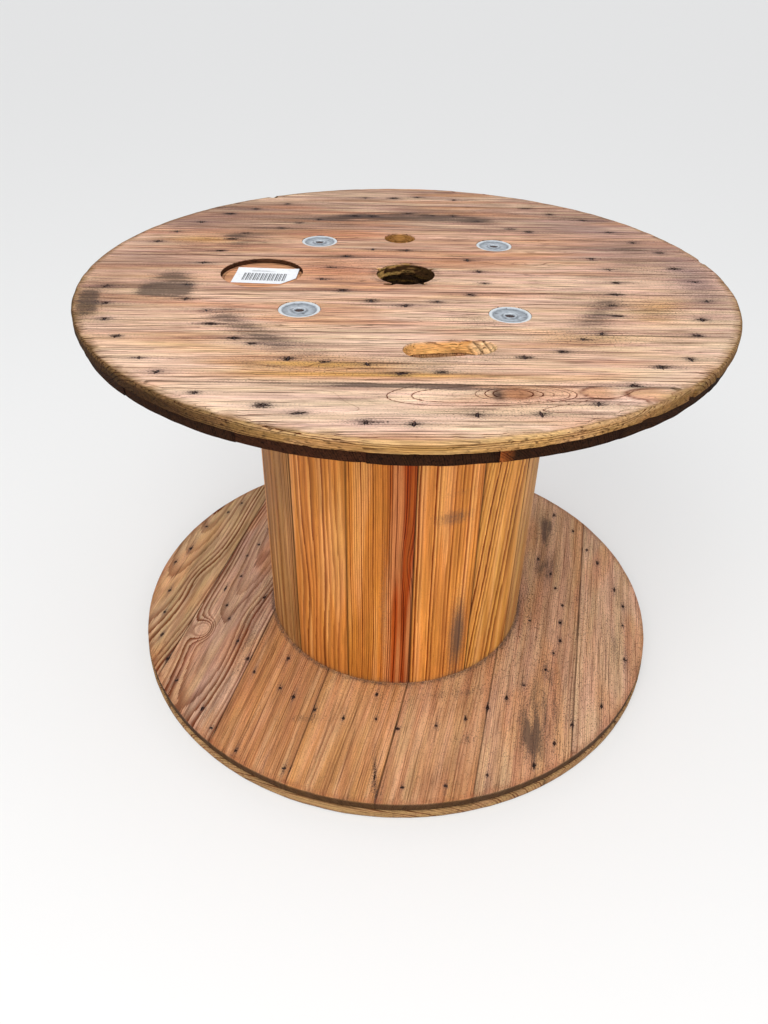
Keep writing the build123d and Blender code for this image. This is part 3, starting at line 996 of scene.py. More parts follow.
# Arcs of dirt over the barrel: how strong each is, and the degrees where it rises and falls
TOP_ARCS = ((1.0, 50, 72, 128, 108), (0.8, 206, 216, 256, 240), (0.7, 316, 328, 356, 342),
            (0.6, 140, 148, 166, 156), (0.3, 258, 264, 300, 290))
# Where the upper ply has lost chips: place and height, then length, width, depth and turn
TOP_CHIPS = (
    (441, 89, TOP, 26, 16, 10, 80), (-240, 372, TOP - 0.002, 16, 20, 12, 30), (-262, 366, TOP, 10, 8, 6, 0),
    (-25, -452, OUTER_BASE, 30, 6, 8, 2), (16, -451, OUTER_BASE, 22, 5, 6, 0),
    (-92, -441, OUTER_BASE, 16, 5, 7, -12), (150, -425, OUTER_BASE, 20, 5, 6, 20),
    (-205, -402, OUTER_BASE, 26, 6, 8, -27), (260, -368, OUTER_BASE, 24, 7, 9, 35),
    (318, -318, OUTER_BASE + 0.004, 20, 7, 12, 45), (-330, -306, OUTER_BASE + 0.002, 30, 7, 10, -47),
    (360, -271, OUTER_BASE, 16, 7, 14, 53), (-372, -254, OUTER_BASE, 24, 6, 8, -55),
    (403, -203, OUTER_BASE, 24, 7, 9, 63), (-410, -190, OUTER_BASE + 0.001, 20, 6, 9, -65),
    (430, -140, OUTER_BASE, 18, 6, 8, 72), (120, 435, OUTER_BASE, 24, 8, 8, -15),
    (-22, -40, TOP - 0.001, 22, 9, 7, 5), (24, -35, TOP, 12, 7, 5, -30), (-38, 18, TOP, 9, 12, 5, 20),
    (36, 22, TOP, 12, 8, 6, 40), (0, 43, TOP, 20, 6, 4, 0),
)

BOTTOM_DIRT = ((214, -312, 22, 44, 0, 0.8), (215, -328, 17, 34, 0, 0.7), (240, -215, 30, 80, -10, 0.3),
               (302, 202, 16, 50, -10, 1.0), (287, 83, 18, 34, -8, 0.9), (-130, -300, 40, 7, 5, 0.5),
               (330, -60, 14, 90, -10, 0.4), (120, -330, 20, 10, 0, 0.5), (250, -250, 50, 60, 0, 0.3),
               (380, -120, 20, 60, 0, 0.4), (-20, -415, 8, 30, 0, 0.6), (-250, -150, 8, 60, -10, 0.5),
               (100, -240, 60, 10, 10, 0.4), (240, 0, 20, 60, 0, 0.3))
BOTTOM_PALE = ((80, -330, 90, 50, 0, 0.5), (-60, -270, 60, 60, 0, 0.3), (330, -100, 40, 90, 0, 0.3))
# A thin rusty line on the front board, between the barrel and the rim
BOTTOM_RUST = ((-22, -400, 3, 45, 3, 1.0),)
BOTTOM_TONES = {"left_3": "#c29f79", "left_2": "#c49e87", "left_1": "#c28a5e", "middle": "#c89160",
                "right_1": "#ca966c", "right_2": "#cfa585", "right_3": "#dcb496"}
BOTTOM_FIGURES = {
    "left_2": Figure((0.006, -0.028), 0.0060, 0.07, 0.0, 0.005,
                     (((-0.177, 0.036), 5.0, (0.024, 0.017)), ((-0.12, -0.02), 0.6, (0.05, 0.02)),
                      ((-0.26, -0.01), -0.5, (0.07, 0.03))), 2.5),
    "left_3": Figure((0.02, -0.04), 0.0070, 0.10, 0.0, 0.004, (((-0.05, -0.03), 1.2, (0.05, 0.02)),), 4.5),
}


# Flange boards


def board_rows(sides):
    """The boards of a ply: each name's ending, and how many rows it lies from the middle."""
    rows = [("middle", 0)]
    for k in (1, 2, 3):
        rows += [(f"{sides[0]}_{k}", -k), (f"{sides[1]}_{k}", k)]
    return rows


def lay_boards(ply, sides, grain, base, disc, cutters, step, finish, uneven=0.0):
    """Cuts one ply's boards out of sawn stock, and has each painted by a function of its own. Uneven
    boards are up to so much shorter at each end, and lie up to so much lower."""
    stock = sawn_stock(step)
    for ending, row in board_rows(sides):
        name = f"{ply}_{ending}"
        board = duplicate(stock, name + "_board")
        place = turned(grain) @ moved(0, row * sizes().board_width, base + PLY)
        board.data.transform(place)
        cut(board, disc, "INTERSECT")
        low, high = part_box(name)
        for cutter in cutters:
            corners = points_of(cutter)
            if (corners.max(0) > np.array(low)).all() and (corners.min(0) < np.array(high)).all():
                cut(board, cutter)
        draw = random.Random(name + "_ends")
        short = 1 - draw.uniform(0, uneven) / FLANGE_RADIUS
        sunk = moved(0, 0, -draw.uniform(0, uneven))
        board.data.transform(sunk @ Matrix.Diagonal((short, short, 1, 1)))
        points = points_of(board)
        finish(board, name, ending, points, within(points, place))
    discard(stock, disc)


def paint_top(board, name, ending, points, local):
    """Paints a board of the table top."""
    c = colours()
    s = sizes()
    figure = TOP_FIGURES[ending]
    x, y, z = points.T
    radius = away(points)
    pits = pitted(points, TOP_NAILS, TOP)
    face = np.maximum(smooth(TOP - 0.0018, TOP - 0.0002, z), pits)
    side = smooth(FLANGE_RADIUS - 0.009, FLANGE_RADIUS - 0.005, radius) * (1 - face)
    wall = (1 - face) * (1 - side) * (radius < FLANGE_RADIUS - 0.012)
    streaks = cloudy(local, (0.15, 0.007, 0.02), figure.seed)
    fields = cloudy(local, (0.22, 0.03, 0.05), figure.seed + 20)
    tint = toned(points, TOP_TONES[ending])
    tint = mixed(tint, c.bleached, 0.75 * smooth(0.5, 0.9, streaks))
    tint = mixed(tint, c.brown, 0.55 * smooth(0.45, 0.1, streaks))
    tint = mixed(tint, "#d9986f", 0.5 * smooth(0.5, 0.85, fields))
    for shade, patches in TOP_PATCHES:
        for cover in patches_on(points, patches):
            tint = mixed(tint, shade, cover * (0.65 + 0.7 * fields))
    # The heart and the ovals of the knots
    u, v = local[:, 0], local[:, 1]
    strong = np.ones(len(points))
    if ending == "front_3":
        heart = bell(((u - 0.110) / 0.020) ** 2 + ((v - 0.048) / 0.015) ** 2)
        tint = mixed(tint, "#b97a55", 0.8 * heart)
        tint = mixed(tint, "#2b1a22", 0.95 * bell((u - 0.089) / 0.0065, (v - 0.044) / 0.012))
        for place, reach in (((0.205, 0.052), 0.026), ((0.262, 0.050), 0.036)):
            far = np.hypot((u - place[0]) / reach, (v - place[1]) / 0.0145)
            lobe = smooth(place[0] + 0.6 * reach, place[0] - 0.2 * reach, u)
            tint = mixed(tint, "#d39d78", 0.75 * smooth(1.0, 0.85, far) * (0.35 + 0.65 * lobe))
            tint = mixed(tint, "#7a4531", 0.95 * bell((far - 1) / 0.10) * lobe)
        strong += 1.1 * bell((u - 0.05) / 0.13, (v - 0.038) / 0.034)
        strong -= 1.15 * bell((u + 0.085) / 0.05, (v - 0.028) / 0.045)
    # Dirt has settled in the seams
    tint = mixed(tint, "#4b3428", 0.75 * by_seam(local, 0.0012, 0.0007) * (radius < 0.44))
    # The sawn rim: gold with fine lines at the front, darker to the sides with dirt and painted shade, and a
    # painted shadow line along its foot
    left = smooth(-0.06, -0.27, x)
    right = smooth(0.20, 0.36, x)
    worn = cloudy(points, (0.04, 0.04, 0.006), 2.0)
    crown = smooth(TOP - 0.0065, TOP - 0.003, z)
    tint = mixed(tint, c.rim, side)
    tint = mixed(tint, "#c8a174", side * np.clip(0.3 * smooth(0.5, 0.75, worn) + 0.85 * crown, 0, 0.95))
    # Dirt and painted shade darken the rim's sides, most on the left
    tint = mixed(tint, "#8f6a42", side * np.clip(left + 0.6 * right, 0, 1) * 0.8)
    shaded = np.clip(0.9 * left + 0.45 * right, 0, 1) * (1 - 0.3 * crown)
    tint = mixed(tint, c.dark_rim, side * shaded)
    # A painted shadow line along the rim's foot, where it overhangs the inner ply
    tint = mixed(tint, c.dark_rim, 0.6 * side * smooth(OUTER_BASE + 0.0008, OUTER_BASE, z))
    # Walls of the holes: the slot is fresh, with dark lines across the grain of its slanted end
    tint = mixed(tint, c.fresh, 0.95 * wall)
    drilled = within(points, slot_bore())
    ramp = wall * (away(drilled) < s.slot_width / 2 + 0.0005) * (drilled[:, 0] > 0.004)
    tint = mixed(tint, "#f0cba0", 0.7 * ramp * smooth(0.034, 0.046, drilled[:, 2]))
    for place, depth in ((0.038, 0.7), (0.047, 0.95), (0.056, 0.9), (0.061, 0.6)):
        tint = mixed(tint, "#3d2311", depth * ramp * bell((drilled[:, 2] - place) / 0.0011))
    # The spindle hole is torn and partly rotten
    bore = smooth(0.062, 0.056, radius) * wall
    layers = cloudy(points, (0.03, 0.03, 0.0035), 5.0)
    rot = smooth(-0.02, 0.03, x + 0.03 * (layers - 0.5))
    tint = mixed(tint, "#dab068", bore * smooth(0.42, 0.65, layers))
    tint = mixed(tint, "#2a180c", bore * np.clip(0.95 * rot + smooth(0.55, 0.35, layers), 0, 0.95))
    # The recess is brown, with painted shade on its wall and on the floor by the wall, and a thin dark ring 4
    # mm within the wall
    label = away(points, s.recess_place)
    sunk = smooth(s.recess_radius + 0.002, s.recess_radius + 0.0005, label) * smooth(TOP, TOP - 0.0006, z)
    ledge = smooth(0.0009, 0.0002, s.recess_radius - label)
    inner_ring = bell((s.recess_radius - label - 0.004) / 0.0007)
    tint = mixed(tint, "#dc9f79", sunk)
    tint = mixed(tint, "#2e1509", sunk * np.clip(0.95 * ledge + 0.7 * inner_ring, 0, 0.95))
    driving = away(points, polar(s.driving_circle, TOP_DRIVING))
    tint = mixed(tint, "#a8763f", 0.8 * smooth(0.028, 0.026, driving) * wall)
    # Iron stains and dirt
    iron = np.maximum(nail_stains(points, TOP_NAILS, 1.0, seed=31) * face, 1.3 * pits)
    angle = np.degrees(np.arctan2(y, x)) % 360
    arcs = sum(most * smooth(rise_from, rise_to, angle) * smooth(fall_to, fall_from, angle)
               for most, rise_from, rise_to, fall_to, fall_from in TOP_ARCS)
    ragged = cloudy(local, (0.05, 0.006, 0.02), figure.seed + 40)
    dirt = 0.9 * bell((radius - 0.278) / 0.02) * arcs * (0.4 + 1.1 * ragged)
    for cover in patches_on(points, TOP_DIRT):
        dirt += cover * (0.4 + 1.0 * ragged)
    dirt = np.clip(dirt, 0, 1) * face
    dirt = np.maximum(dirt, 0.75 * bell((radius - s.arbor_radius - 0.004) / 0.006) * face * ragged)
    grit = 0.12 * np.ones(len(points))
    for cover in patches_on(points, TOP_GRIT):
        grit += cover
    grit = np.clip(grit, 0, 1) * face + 0.15 * side
    # Along the front of the rim the rings run level with it
    level = side * smooth(0.36, 0.22, np.abs(x))
    flat = local.copy()
    flat[:, 1] = flat[:, 1] * (1 - level) - 0.055 * level
    flat[:, 2] = flat[:, 2] * (1 + 1.3 * level)
    band = line_share(figure, local, 0.0012) * (1 - side) + 0.2 * side
    marks = np.clip(iron, 0, 1.2), dirt, strong * (1 - 0.55 * wall) + 0.5 * side, grit
    paint(board, local + figure.seed * 3.1, figure.rings(flat), tint, marks, band)
    adopt(board, "weathered_spruce", "weathered_softwood", name)


def paint_hidden(board, name, ending, points, local):
    """Paints a board that is mostly out of the light: brown, with its rim painted nearly black as shade."""
    draw = random.Random(name)
    figure = random_figure(draw)
    radius = away(points)
    rim = smooth(FLANGE_RADIUS - 0.013, FLANGE_RADIUS - 0.009, radius)
    tint = toned(points, "#b98a62", draw.uniform(0.85, 1.1))
    # A dark seam stops short of the face's edge, because its colour would spread over the whole face
    tint = mixed(tint, "#3a281c", 0.8 * by_seam(local, 0.0008, 0.0004))
    # Painted shade: the rim, sheltered by the upper ply, is nearly black
    tint = mixed(tint, draw.choice(("#170501", "#1f0a03", "#2e1308")), 0.97 * rim)
    layers = cloudy(points, (0.03, 0.03, 0.0035), 5.0)
    # Painted shade: deep in the spindle hole the wall is nearly black, with paler torn layers
    bore = smooth(0.062, 0.056, radius)
    tint = mixed(tint, "#120a05", 0.95 * bore)
    tint = mixed(tint, "#7a5c2c", 0.6 * bore * smooth(0.6, 0.75, layers))
    if ending == "right_1":
        pale = smooth(0.062, 0.068, points[:, 0]) * smooth(0.112, 0.104, points[:, 0]) * (points[:, 1] < 0)
        tint = mixed(tint, "#8a4a22", rim * pale)
    paint(board, local + draw.uniform(0, 40), figure.rings(local), tint, (0, 0, 1, 0.05 * rim))
    adopt(board, "weathered_spruce", "weathered_softwood", name)


def paint_bottom(board, name, ending, points, local):
    """Paints an upper board of the lower flange."""
    draw = random.Random(name)
    figure = BOTTOM_FIGURES.get(ending) or random_figure(draw)
    x, y, z = points.T
    radius = away(points)
    pits = pitted(points, BOTTOM_NAILS, BOTTOM_FACE)
    face = np.maximum(smooth(BOTTOM_FACE - 0.0022, BOTTOM_FACE - 0.0003, z), pits)
    side = smooth(FLANGE_RADIUS - 0.012, FLANGE_RADIUS - 0.007, radius) * (1 - face)
    tint = toned(points, BOTTOM_TONES[ending])
    streaks = cloudy(local, (0.2, 0.010, 0.02), draw.uniform(0, 50))
    fields = cloudy(local, (0.16, 0.05, 0.05), draw.uniform(0, 50))
    tint = mixed(tint, "#ecc39d", 0.3 * smooth(0.5, 0.85, streaks))
    tint = mixed(tint, "#98694a", 0.3 * smooth(0.45, 0.15, streaks))
    tint = mixed(tint, "#d8935e", 0.35 * smooth(0.45, 0.8, fields))
    for cover in patches_on(points, BOTTOM_PALE):
        tint = mixed(tint, "#e5b68c", cover)
    tint = mixed(tint, "#4a3020", 0.7 * by_seam(local, 0.0012, 0.0007))
    worn = bell((radius - FLANGE_RADIUS + 0.008) / 0.004) * face
    tint = mixed(tint, "#9c5a3a", 0.6 * worn)
    tint = mixed(tint, "#3f2916", 0.95 * side)
    iron = np.maximum(nail_stains(points, BOTTOM_NAILS, 0.55, seed=41) * face, 1.3 * pits)
    for cover in patches_on(points, BOTTOM_RUST):
        iron = np.maximum(iron, np.clip(0.9 * cover, 0, 1) * face)
    ragged = cloudy(local, (0.05, 0.008, 0.02), draw.uniform(0, 50))
    dirt = 0.7 * bell((radius - 0.225) / 0.004)
    for cover in patches_on(points, BOTTOM_DIRT):
        dirt += cover * (0.35 + ragged)
    grit = np.clip(0.35 + 0.35 * smooth(0.0, 0.3, x) + 0.3 * smooth(0.30, 0.24, radius), 0, 1) * face
    strong = 1.2 if ending in BOTTOM_FIGURES else 0.5
    marks = np.clip(iron, 0, 1.3), np.clip(dirt, 0, 1) * face, strong, grit + 0.6 * side
    paint(board, local + draw.uniform(0, 40), figure.rings(local), tint, marks)
    adopt(board, "trodden_spruce", "weathered_softwood", name)


def paint_floor_ply(board, name, ending, points, local):
    """Paints a board that the drum stands on: pale at its rim."""
    draw = random.Random(name)
    figure = random_figure(draw)
    rim = smooth(FLANGE_RADIUS - 0.012, FLANGE_RADIUS - 0.006, away(points))
    tint = toned(points, "#b08862", draw.uniform(0.82, 1.15))
    tint = mixed(tint, "#a8835a", rim)
    tint = mixed(tint, "#3a281c", 0.8 * by_seam(local, 0.0008, 0.0004))
    dirt = 0.7 * rim * smooth(0.007, 0.0, points[:, 2])
    paint(board, local + draw.uniform(0, 40), figure.rings(local), tint, (0, dirt, 1, 0.4))
    adopt(board, "trodden_spruce", "weathered_softwood", name)


def top_flange():
    """Both plies of the upper flange."""
    s = sizes()
    weathered_spruce()
    above, below = TOP + PAST, INNER_BASE - PAST
    through = through_cutters(below, above, TOP_DRIVING, rows=12, others=slot_cutters())
    recess = round_cutter(s.recess_radius, TOP - s.recess_depth, TOP + s.recess_depth, s.recess_place,
                          sides=96, rows=10, rings=(0.0006, 0.002, 0.001, 0.001, 0.001, 0.006, 0.01, 0.014))
    pits = nail_pits(TOP_NAILS, TOP + PIT_LIFT, long=0.0098, wide=0.0040, seed=37)
    own = [*seat_cutters(NUT_SEAT - NUT_THICKNESS, above), recess, pits, chips(TOP_CHIPS, seed=51)]
    disc = turned_disc(FLANGE_RADIUS, OUTER_BASE, s.worn_arris, foot_arris=0.0006, sides=720,
                       wear=s.rim_wear)
    lay_boards("top_outer", ("front", "rear"), TOP_GRAIN, OUTER_BASE, disc, through + own,
               FINE_STEP, paint_top)
    groove = groove_cutter(INNER_BASE - 0.004, INNER_BASE + 0.006)
    disc = turned_disc(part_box("top_inner_middle")[1].y, INNER_BASE, PLAIN_ARRIS, PLAIN_ARRIS, sides=360,
                       wear=0.002)
    lay_boards("top_inner", ("right", "left"), TOP_INNER_GRAIN, INNER_BASE, disc, through + [groove],
               COARSE_STEP, paint_hidden, uneven=0.0015)
    discard(groove, *own, *through)


def bottom_flange():
    """Both plies of the lower flange."""
    trodden_spruce()
    above, below = 2 * PLY + PAST, -PAST
    through = through_cutters(below, above, BOTTOM_DRIVING)
    groove = groove_cutter(BOTTOM_FACE - 0.006, BOTTOM_FACE + 0.004)
    pits = nail_pits(BOTTOM_NAILS, BOTTOM_FACE + PIT_LIFT, long=0.0052, wide=0.0042, seed=47)
    disc = turned_disc(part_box("bottom_inner_middle")[1].y, PLY, PLAIN_ARRIS, PLAIN_ARRIS, sides=360,
                       wear=0.0012)
    lay_boards("bottom_inner", ("right", "left"), BOTTOM_GRAIN, PLY, disc, through + [groove, pits],
               MIDDLE_STEP, paint_bottom)
    seats = seat_cutters(below, 0.004)
    disc = turned_disc(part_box("bottom_outer_middle")[1].x, 0, PLAIN_ARRIS, foot_arris=0.003, sides=360,
                       wear=0.0012)
    lay_boards("bottom_outer", ("front", "rear"), FLOOR_GRAIN, 0, disc, through + seats,
               COARSE_STEP, paint_floor_ply)
    discard(groove, pits, *through, *seats)


class DRUM_OT_flange_boards(bpy.types.Operator):
    """Cuts the boards of both flanges and paints their weather on them."""

    bl_idname = "drum.flange_boards"
    bl_label = "Flange boards"

    def execute(self, context):
        top_flange()
        bottom_flange()
        return {"FINISHED"}


# Barrel

STAVE_FIGURES = {
    "stave_12": Figure((0.10, -0.05), 0.0034, 0.0, 0.002, 0.001, (), 1.0),
    "stave_13": Figure((0.190, -0.060), 0.0086, 0.02, 0.0, 0.0040,
                       (((0.08, 0.004), 0.9, (0.12, 0.014)), ((-0.16, -0.02), 0.7, (0.09, 0.012))), 2.0),
    "stave_14": Figure((-0.16, -0.05), 0.0032, 0.0, 0.0, 0.0012,
                       (((-0.03, 0.040), 2.2, (0.05, 0.012)),), 3.0),
    "stave_01": Figure((0.14, -0.05), 0.0054, 0.0, 0.0, 0.001, (), 4.0),
    "stave_02": Figure((0.05, -0.05), 0.0056, 0.0, 0.10, 0.002, (), 5.0),
    "stave_03": Figure((0.08, -0.05), 0.0040, 0.0, 0.03, 0.002, (), 6.0),
}
STAVE_TONES = {"stave_12": "#a67646", "stave_13": "#c37b39", "stave_14": "#c97e35", "stave_01": "#d68942",
               "stave_02": "#d7954a", "stave_03": "#c29057"}


def stave_stock():
    """One stave at the front, bent to the barrel outside and flat inside, with eased seams."""
    s = sizes()
    half = pi / s.stave_count
    stave = done(slab(along=34, across=60, length=2, width=2, thickness=1))
    for vertex in stave.data.vertices:
        angle = vertex.co.x * half
        reach = s.barrel_radius if vertex.co.z > -0.5 else s.barrel_inside / cos(angle)
        height = STAVE_FOOT + (vertex.co.y + 1) / 2 * (STAVE_TOP - STAVE_FOOT)
        vertex.co = (reach * sin(angle), -reach * cos(angle), height)
    edit(stave)
    face_outwards()
    seam = s.barrel_radius * sin(half) - LEVEL
    choose(stave, "EDGE", lambda e: all(abs(v.co.x) > seam for v in e.verts) and rise(e) > 1e-4)
    bpy.ops.mesh.bevel(offset=STAVE_EASE, segments=2, affect="EDGES")
    return done(stave)


def paint_stave(stave, name, flat):
    """Paints a stave, from its points as it stood at the front."""
    s = sizes()
    draw = random.Random(name)
    figure = STAVE_FIGURES.get(name) or random_figure(draw)
    angle = np.arctan2(flat[:, 0], -flat[:, 1])
    height = flat[:, 2]
    local = np.column_stack([height - (STAVE_TOP + STAVE_FOOT) / 2, angle * s.barrel_radius,
                             away(flat) - s.barrel_radius])
    across = local[:, 1] / (s.barrel_radius * pi / s.stave_count)
    tint = toned(flat, STAVE_TONES.get(name, "#cf8f50"))
    if name == "stave_14":
        tint = mixed(tint, colours().red, 0.95 * smooth(-0.1, 0.55, across))
    streaks = cloudy(local, (0.3, 0.012, 0.02), draw.uniform(0, 50))
    tint = mixed(tint, "#efb477", 0.3 * smooth(0.5, 0.85, streaks))
    tint = mixed(tint, "#a2622c", 0.35 * smooth(0.5, 0.15, streaks))
    dirt = 0.8 * smooth(BOTTOM_FACE + 0.006, BOTTOM_FACE, height)
    if name == "stave_01":
        dirt += 0.95 * bell((across - 0.55) / 0.3, (height - 0.12) / 0.08)
        dirt += 0.65 * bell((across - 0.1) / 0.6, (height - 0.36) / 0.012)
        dirt += 0.3 * bell((across - 0.2) / 0.5, (height - 0.36 - 0.04) / 0.006)
    if name == "stave_14":
        dirt += 0.45 * bell((across - 0.15) / 0.13, (height - 0.20) / 0.14)
    # Dark seams between the staves: dark joints, deepened with painted shade, more on one side than the other
    depth = np.where(across > 0, draw.uniform(0.6, 0.95), draw.uniform(0.3, 0.6))
    edge = 0.955 if name == "stave_14" else 0.972
    tint = mixed(tint, "#32190b", depth * smooth(edge, 0.982, np.abs(across)))
    paint(stave, local + draw.uniform(0, 40), figure.rings(local), tint, (0, np.clip(dirt, 0, 1), 1, 0.15))
    adopt(stave, "planed_pine", "planed_softwood", name)


class DRUM_OT_staves(bpy.types.Operator):
    """Bends one stave, and copies it round the barrel with a grain of its own for each."""

    bl_idname = "drum.staves"
    bl_label = "Staves"

    def execute(self, context):
        s = sizes()
        planed_pine()
        stock = stave_stock()
        step = TURN / s.stave_count
        for number in range(s.stave_count):
            name = f"stave_{number + 1:02d}"
            stave = duplicate(stock, name + "_planed")
            flat = points_of(stave)
            stave.data.transform(turned(s.first_seam + step / 2 + number * step))
            paint_stave(stave, name, flat)
        discard(stock)
        return {"FINISHED"}


# Steel

# A nut's face from its edge inwards: how far each ring lies within the last, and how much higher
NUT_RINGS = ((0.0036, 0.0), (0.0016, -0.0014), (0.0090, -0.0004), (0.0026, 0.0), (0.0007, 0.0013),
             (0.0022, 0.0), (0.0009, -0.0006))
# Radius of the foot of a nut's collar, and of the sleeve below its dish
NUT_SLEEVE = 0.010


def lathe_nut():
    """A dished nut on the axis, its seat at height 0: a worn rim, a grey dish and a collar. Wear, grime and
    painted light and shade are kept on its points.
    """
    edge = sizes().nut_radius
    nut = start(bpy.ops.mesh.primitive_cylinder_add, vertices=72, radius=edge, depth=NUT_THICKNESS,
                location=(0, 0, NUT_THICKNESS / 2))
    edit(nut)
    choose(nut, "FACE", lambda f: f.normal.z > 0.9)
    for inset, lift in NUT_RINGS:
        bpy.ops.mesh.inset(thickness=inset)
        bpy.ops.transform.translate(value=(0, 0, lift))
    down = {"value": (0, 0, -0.02)}
    bpy.ops.mesh.extrude_region_move(TRANSFORM_OT_translate=down)
    choose(nut, "FACE", lambda f: f.normal.z < -0.9)
    bpy.ops.mesh.inset(thickness=edge - NUT_SLEEVE)
    bpy.ops.mesh.extrude_region_move(TRANSFORM_OT_translate=down)
    done(nut)
    modify(nut, "BEVEL", width=0.0005, segments=2, limit_method="ANGLE", angle_limit=radians(35))
    points = points_of(nut)
    height = points[:, 2]
    radius = away(points)
    # Painted on the nut: the rim pale with wear and a painted highlight, the collar paler, and the grooves
    # dark with grime and painted shade
    rim = smooth(edge - 0.0042, edge - 0.0030, radius) * smooth(0.001, 0.003, height)
    groove = bell((radius - edge + 0.0054) / 0.0006) + 0.8 * bell((radius - NUT_SLEEVE) / 0.0014)
    collar = 0.5 * smooth(0.0010, 0.0, np.abs(radius - 0.0075)) * smooth(0.001, 0.002, height)
    keep(nut, "wear_and_shading", 0.85 * rim + collar - groove)
    return nut


class DRUM_OT_nuts(bpy.types.Operator):
    """Turns one dished nut and sets eight copies in their seats."""

    bl_idname = "drum.nuts"
    bl_label = "Nuts"

    def execute(self, context):
        galvanised_steel()
        first = lathe_nut()
        seat = NUT_SEAT - NUT_THICKNESS
        for number, (x, y) in enumerate(rod_places(), 1):
            for end, height, turn in (("top", seat, 0), ("bottom", TOP - seat, pi)):
                name = f"{end}_nut_{number}"
                nut = duplicate(first, name + "_dished")
                nut.data.transform(moved(x, y, height) @ turned(turn, "X"))
                adopt(nut, "galvanised_steel", "galvanised_steel", name)
        discard(first)
        return {"FINISHED"}


class DRUM_OT_tie_rods(bpy.types.Operator):
    """Turns the tie rods, their ends eased, as they show in the nuts."""

    bl_idname = "drum.tie_rods"
    bl_label = "Tie rods"

    def execute(self, context):
        rusty_steel()
        first = start(bpy.ops.mesh.primitive_cylinder_add, vertices=24, radius=sizes().rod_radius,
                      depth=ROD_HIGH.z - ROD_LOW.z, location=(0, 0, (ROD_LOW.z + ROD_HIGH.z) / 2))
        edit(first)
        choose(first, "EDGE", lambda e: rise(e) < LEVEL)
        bpy.ops.mesh.bevel(offset=0.0009, segments=2, affect="EDGES")
        done(first)
        for number, place in enumerate(rod_places(), 1):
            rod = duplicate(first, f"tie_rod_{number}_rolled")
            rod.data.transform(moved(*place, 0))
            adopt(rod, "rusty_steel", "dark_steel", f"tie_rod_{number}")
        discard(first)
        return {"FINISHED"}


class DRUM_OT_nails(bpy.types.Operator):
    """Lays the hammered-over points of both flanges' nails in their torn pits."""

    bl_idname = "drum.nails"
    bl_label = "Nails"

    def execute(self, context):
        thick = 0.0012
        first = start(bpy.ops.mesh.primitive_cylinder_add, vertices=8, radius=thick, depth=0.0110,
                      rotation=(0, pi / 2, 0))
        edit(first)
        choose(first, "FACE", lambda f: abs(f.normal.x) > 0.9)
        bpy.ops.mesh.inset(thickness=thick / 2)
        choose(first, "FACE", lambda f: f.normal.x > 0.9 and len(f.verts) > 4)
        bpy.ops.transform.translate(value=(thick, 0, -0.0004))
        done(first)
        for name, nails, height, size in (("top_nails", TOP_NAILS, TOP - 0.0014, 1.0),
                                          ("bottom_nails", BOTTOM_NAILS, BOTTOM_FACE - 0.0018, 0.5)):
            heads = []
            for place, turn in zip(nails.places, nails.turns):
                head = duplicate(first, "head")
                head.data.transform(moved(*place, height) @ turned(turn) @ Matrix.Diagonal((size, 1, 1, 1)))
                heads.append(head)
            adopt(fuse(heads, name), "rusty_steel", "dark_steel")
        discard(first)
        return {"FINISHED"}


# Label


class DRUM_OT_label(bpy.types.Operator):
    """Lays a plain label with even bars in the recess, a little curled."""

    bl_idname = "drum.label"
    bl_label = "Label"

    def execute(self, context):
        s = sizes()
        long, wide = 0.088, 0.057
        height = TOP - s.recess_depth + 0.0006
        place = moved(s.recess_place[0] + 0.0045, s.recess_place[1] + 0.0025, height)
        sheet = start(bpy.ops.mesh.primitive_grid_add, x_subdivisions=24, y_subdivisions=16, size=1)
        sheet.name = "label"
        edit(sheet)
        bpy.ops.mesh.select_all(action="SELECT")
        bpy.ops.transform.resize(value=(long, wide, 1))
        corner = (long / 2 - 0.011, -wide / 2 + 0.009)
        bpy.ops.mesh.bisect(plane_co=(*corner, 0), plane_no=(0.75, -0.66, 0), clear_outer=True)
        done(sheet)
        bars = self.bars(long)
        for piece in (sheet, bars):
            for vertex in piece.data.vertices:
                vertex.co.z += self.curl(vertex.co.x / long, vertex.co.y / wide)
            piece.data.transform(place @ turned(radians(-1.5)))
        modify(sheet, "SOLIDIFY", thickness=0.00015, offset=1.0)
        label_paper()
        adopt(sheet, "label_paper", None)
        label_ink()
        adopt(bars, "label_ink", None)
        return {"FINISHED"}

    def curl(self, across, along):
        """How far the paper has lifted, from -0.5 to 0.5 of its length and width."""
        return 0.008 * max(0, across - 0.30) ** 1.5 + 0.006 * max(0, along - 0.2) ** 1.5

    def bars(self, long):
        """A field of plain bars, and two thin rules above it."""
        widths = (0.0015, 0.0008, 0.0020, 0.0011)
        place = -0.47 * long + 0.010
        strips = []
        while place < 0.34 * long:
            width = widths[len(strips) % 4]
            strips.append((place, -0.004, width, 0.028))
            place += width + widths[len(strips) % 4] * 0.9
        strips += [(-0.26 * long, 0.019, 0.30 * long, 0.0006), (-0.26 * long, 0.0165, 0.38 * long, 0.0005)]
        pieces = []
        for x, y, width, height in strips:
            bpy.ops.mesh.primitive_grid_add(x_subdivisions=2, y_subdivisions=6, size=1,
                                            location=(x + width / 2, y, 0.0003))
            bar = bpy.context.view_layer.objects.active
            bar.scale = (width, height, 1)
            pieces.append(bar)
        return fuse(pieces, "label_bars")


# Stage


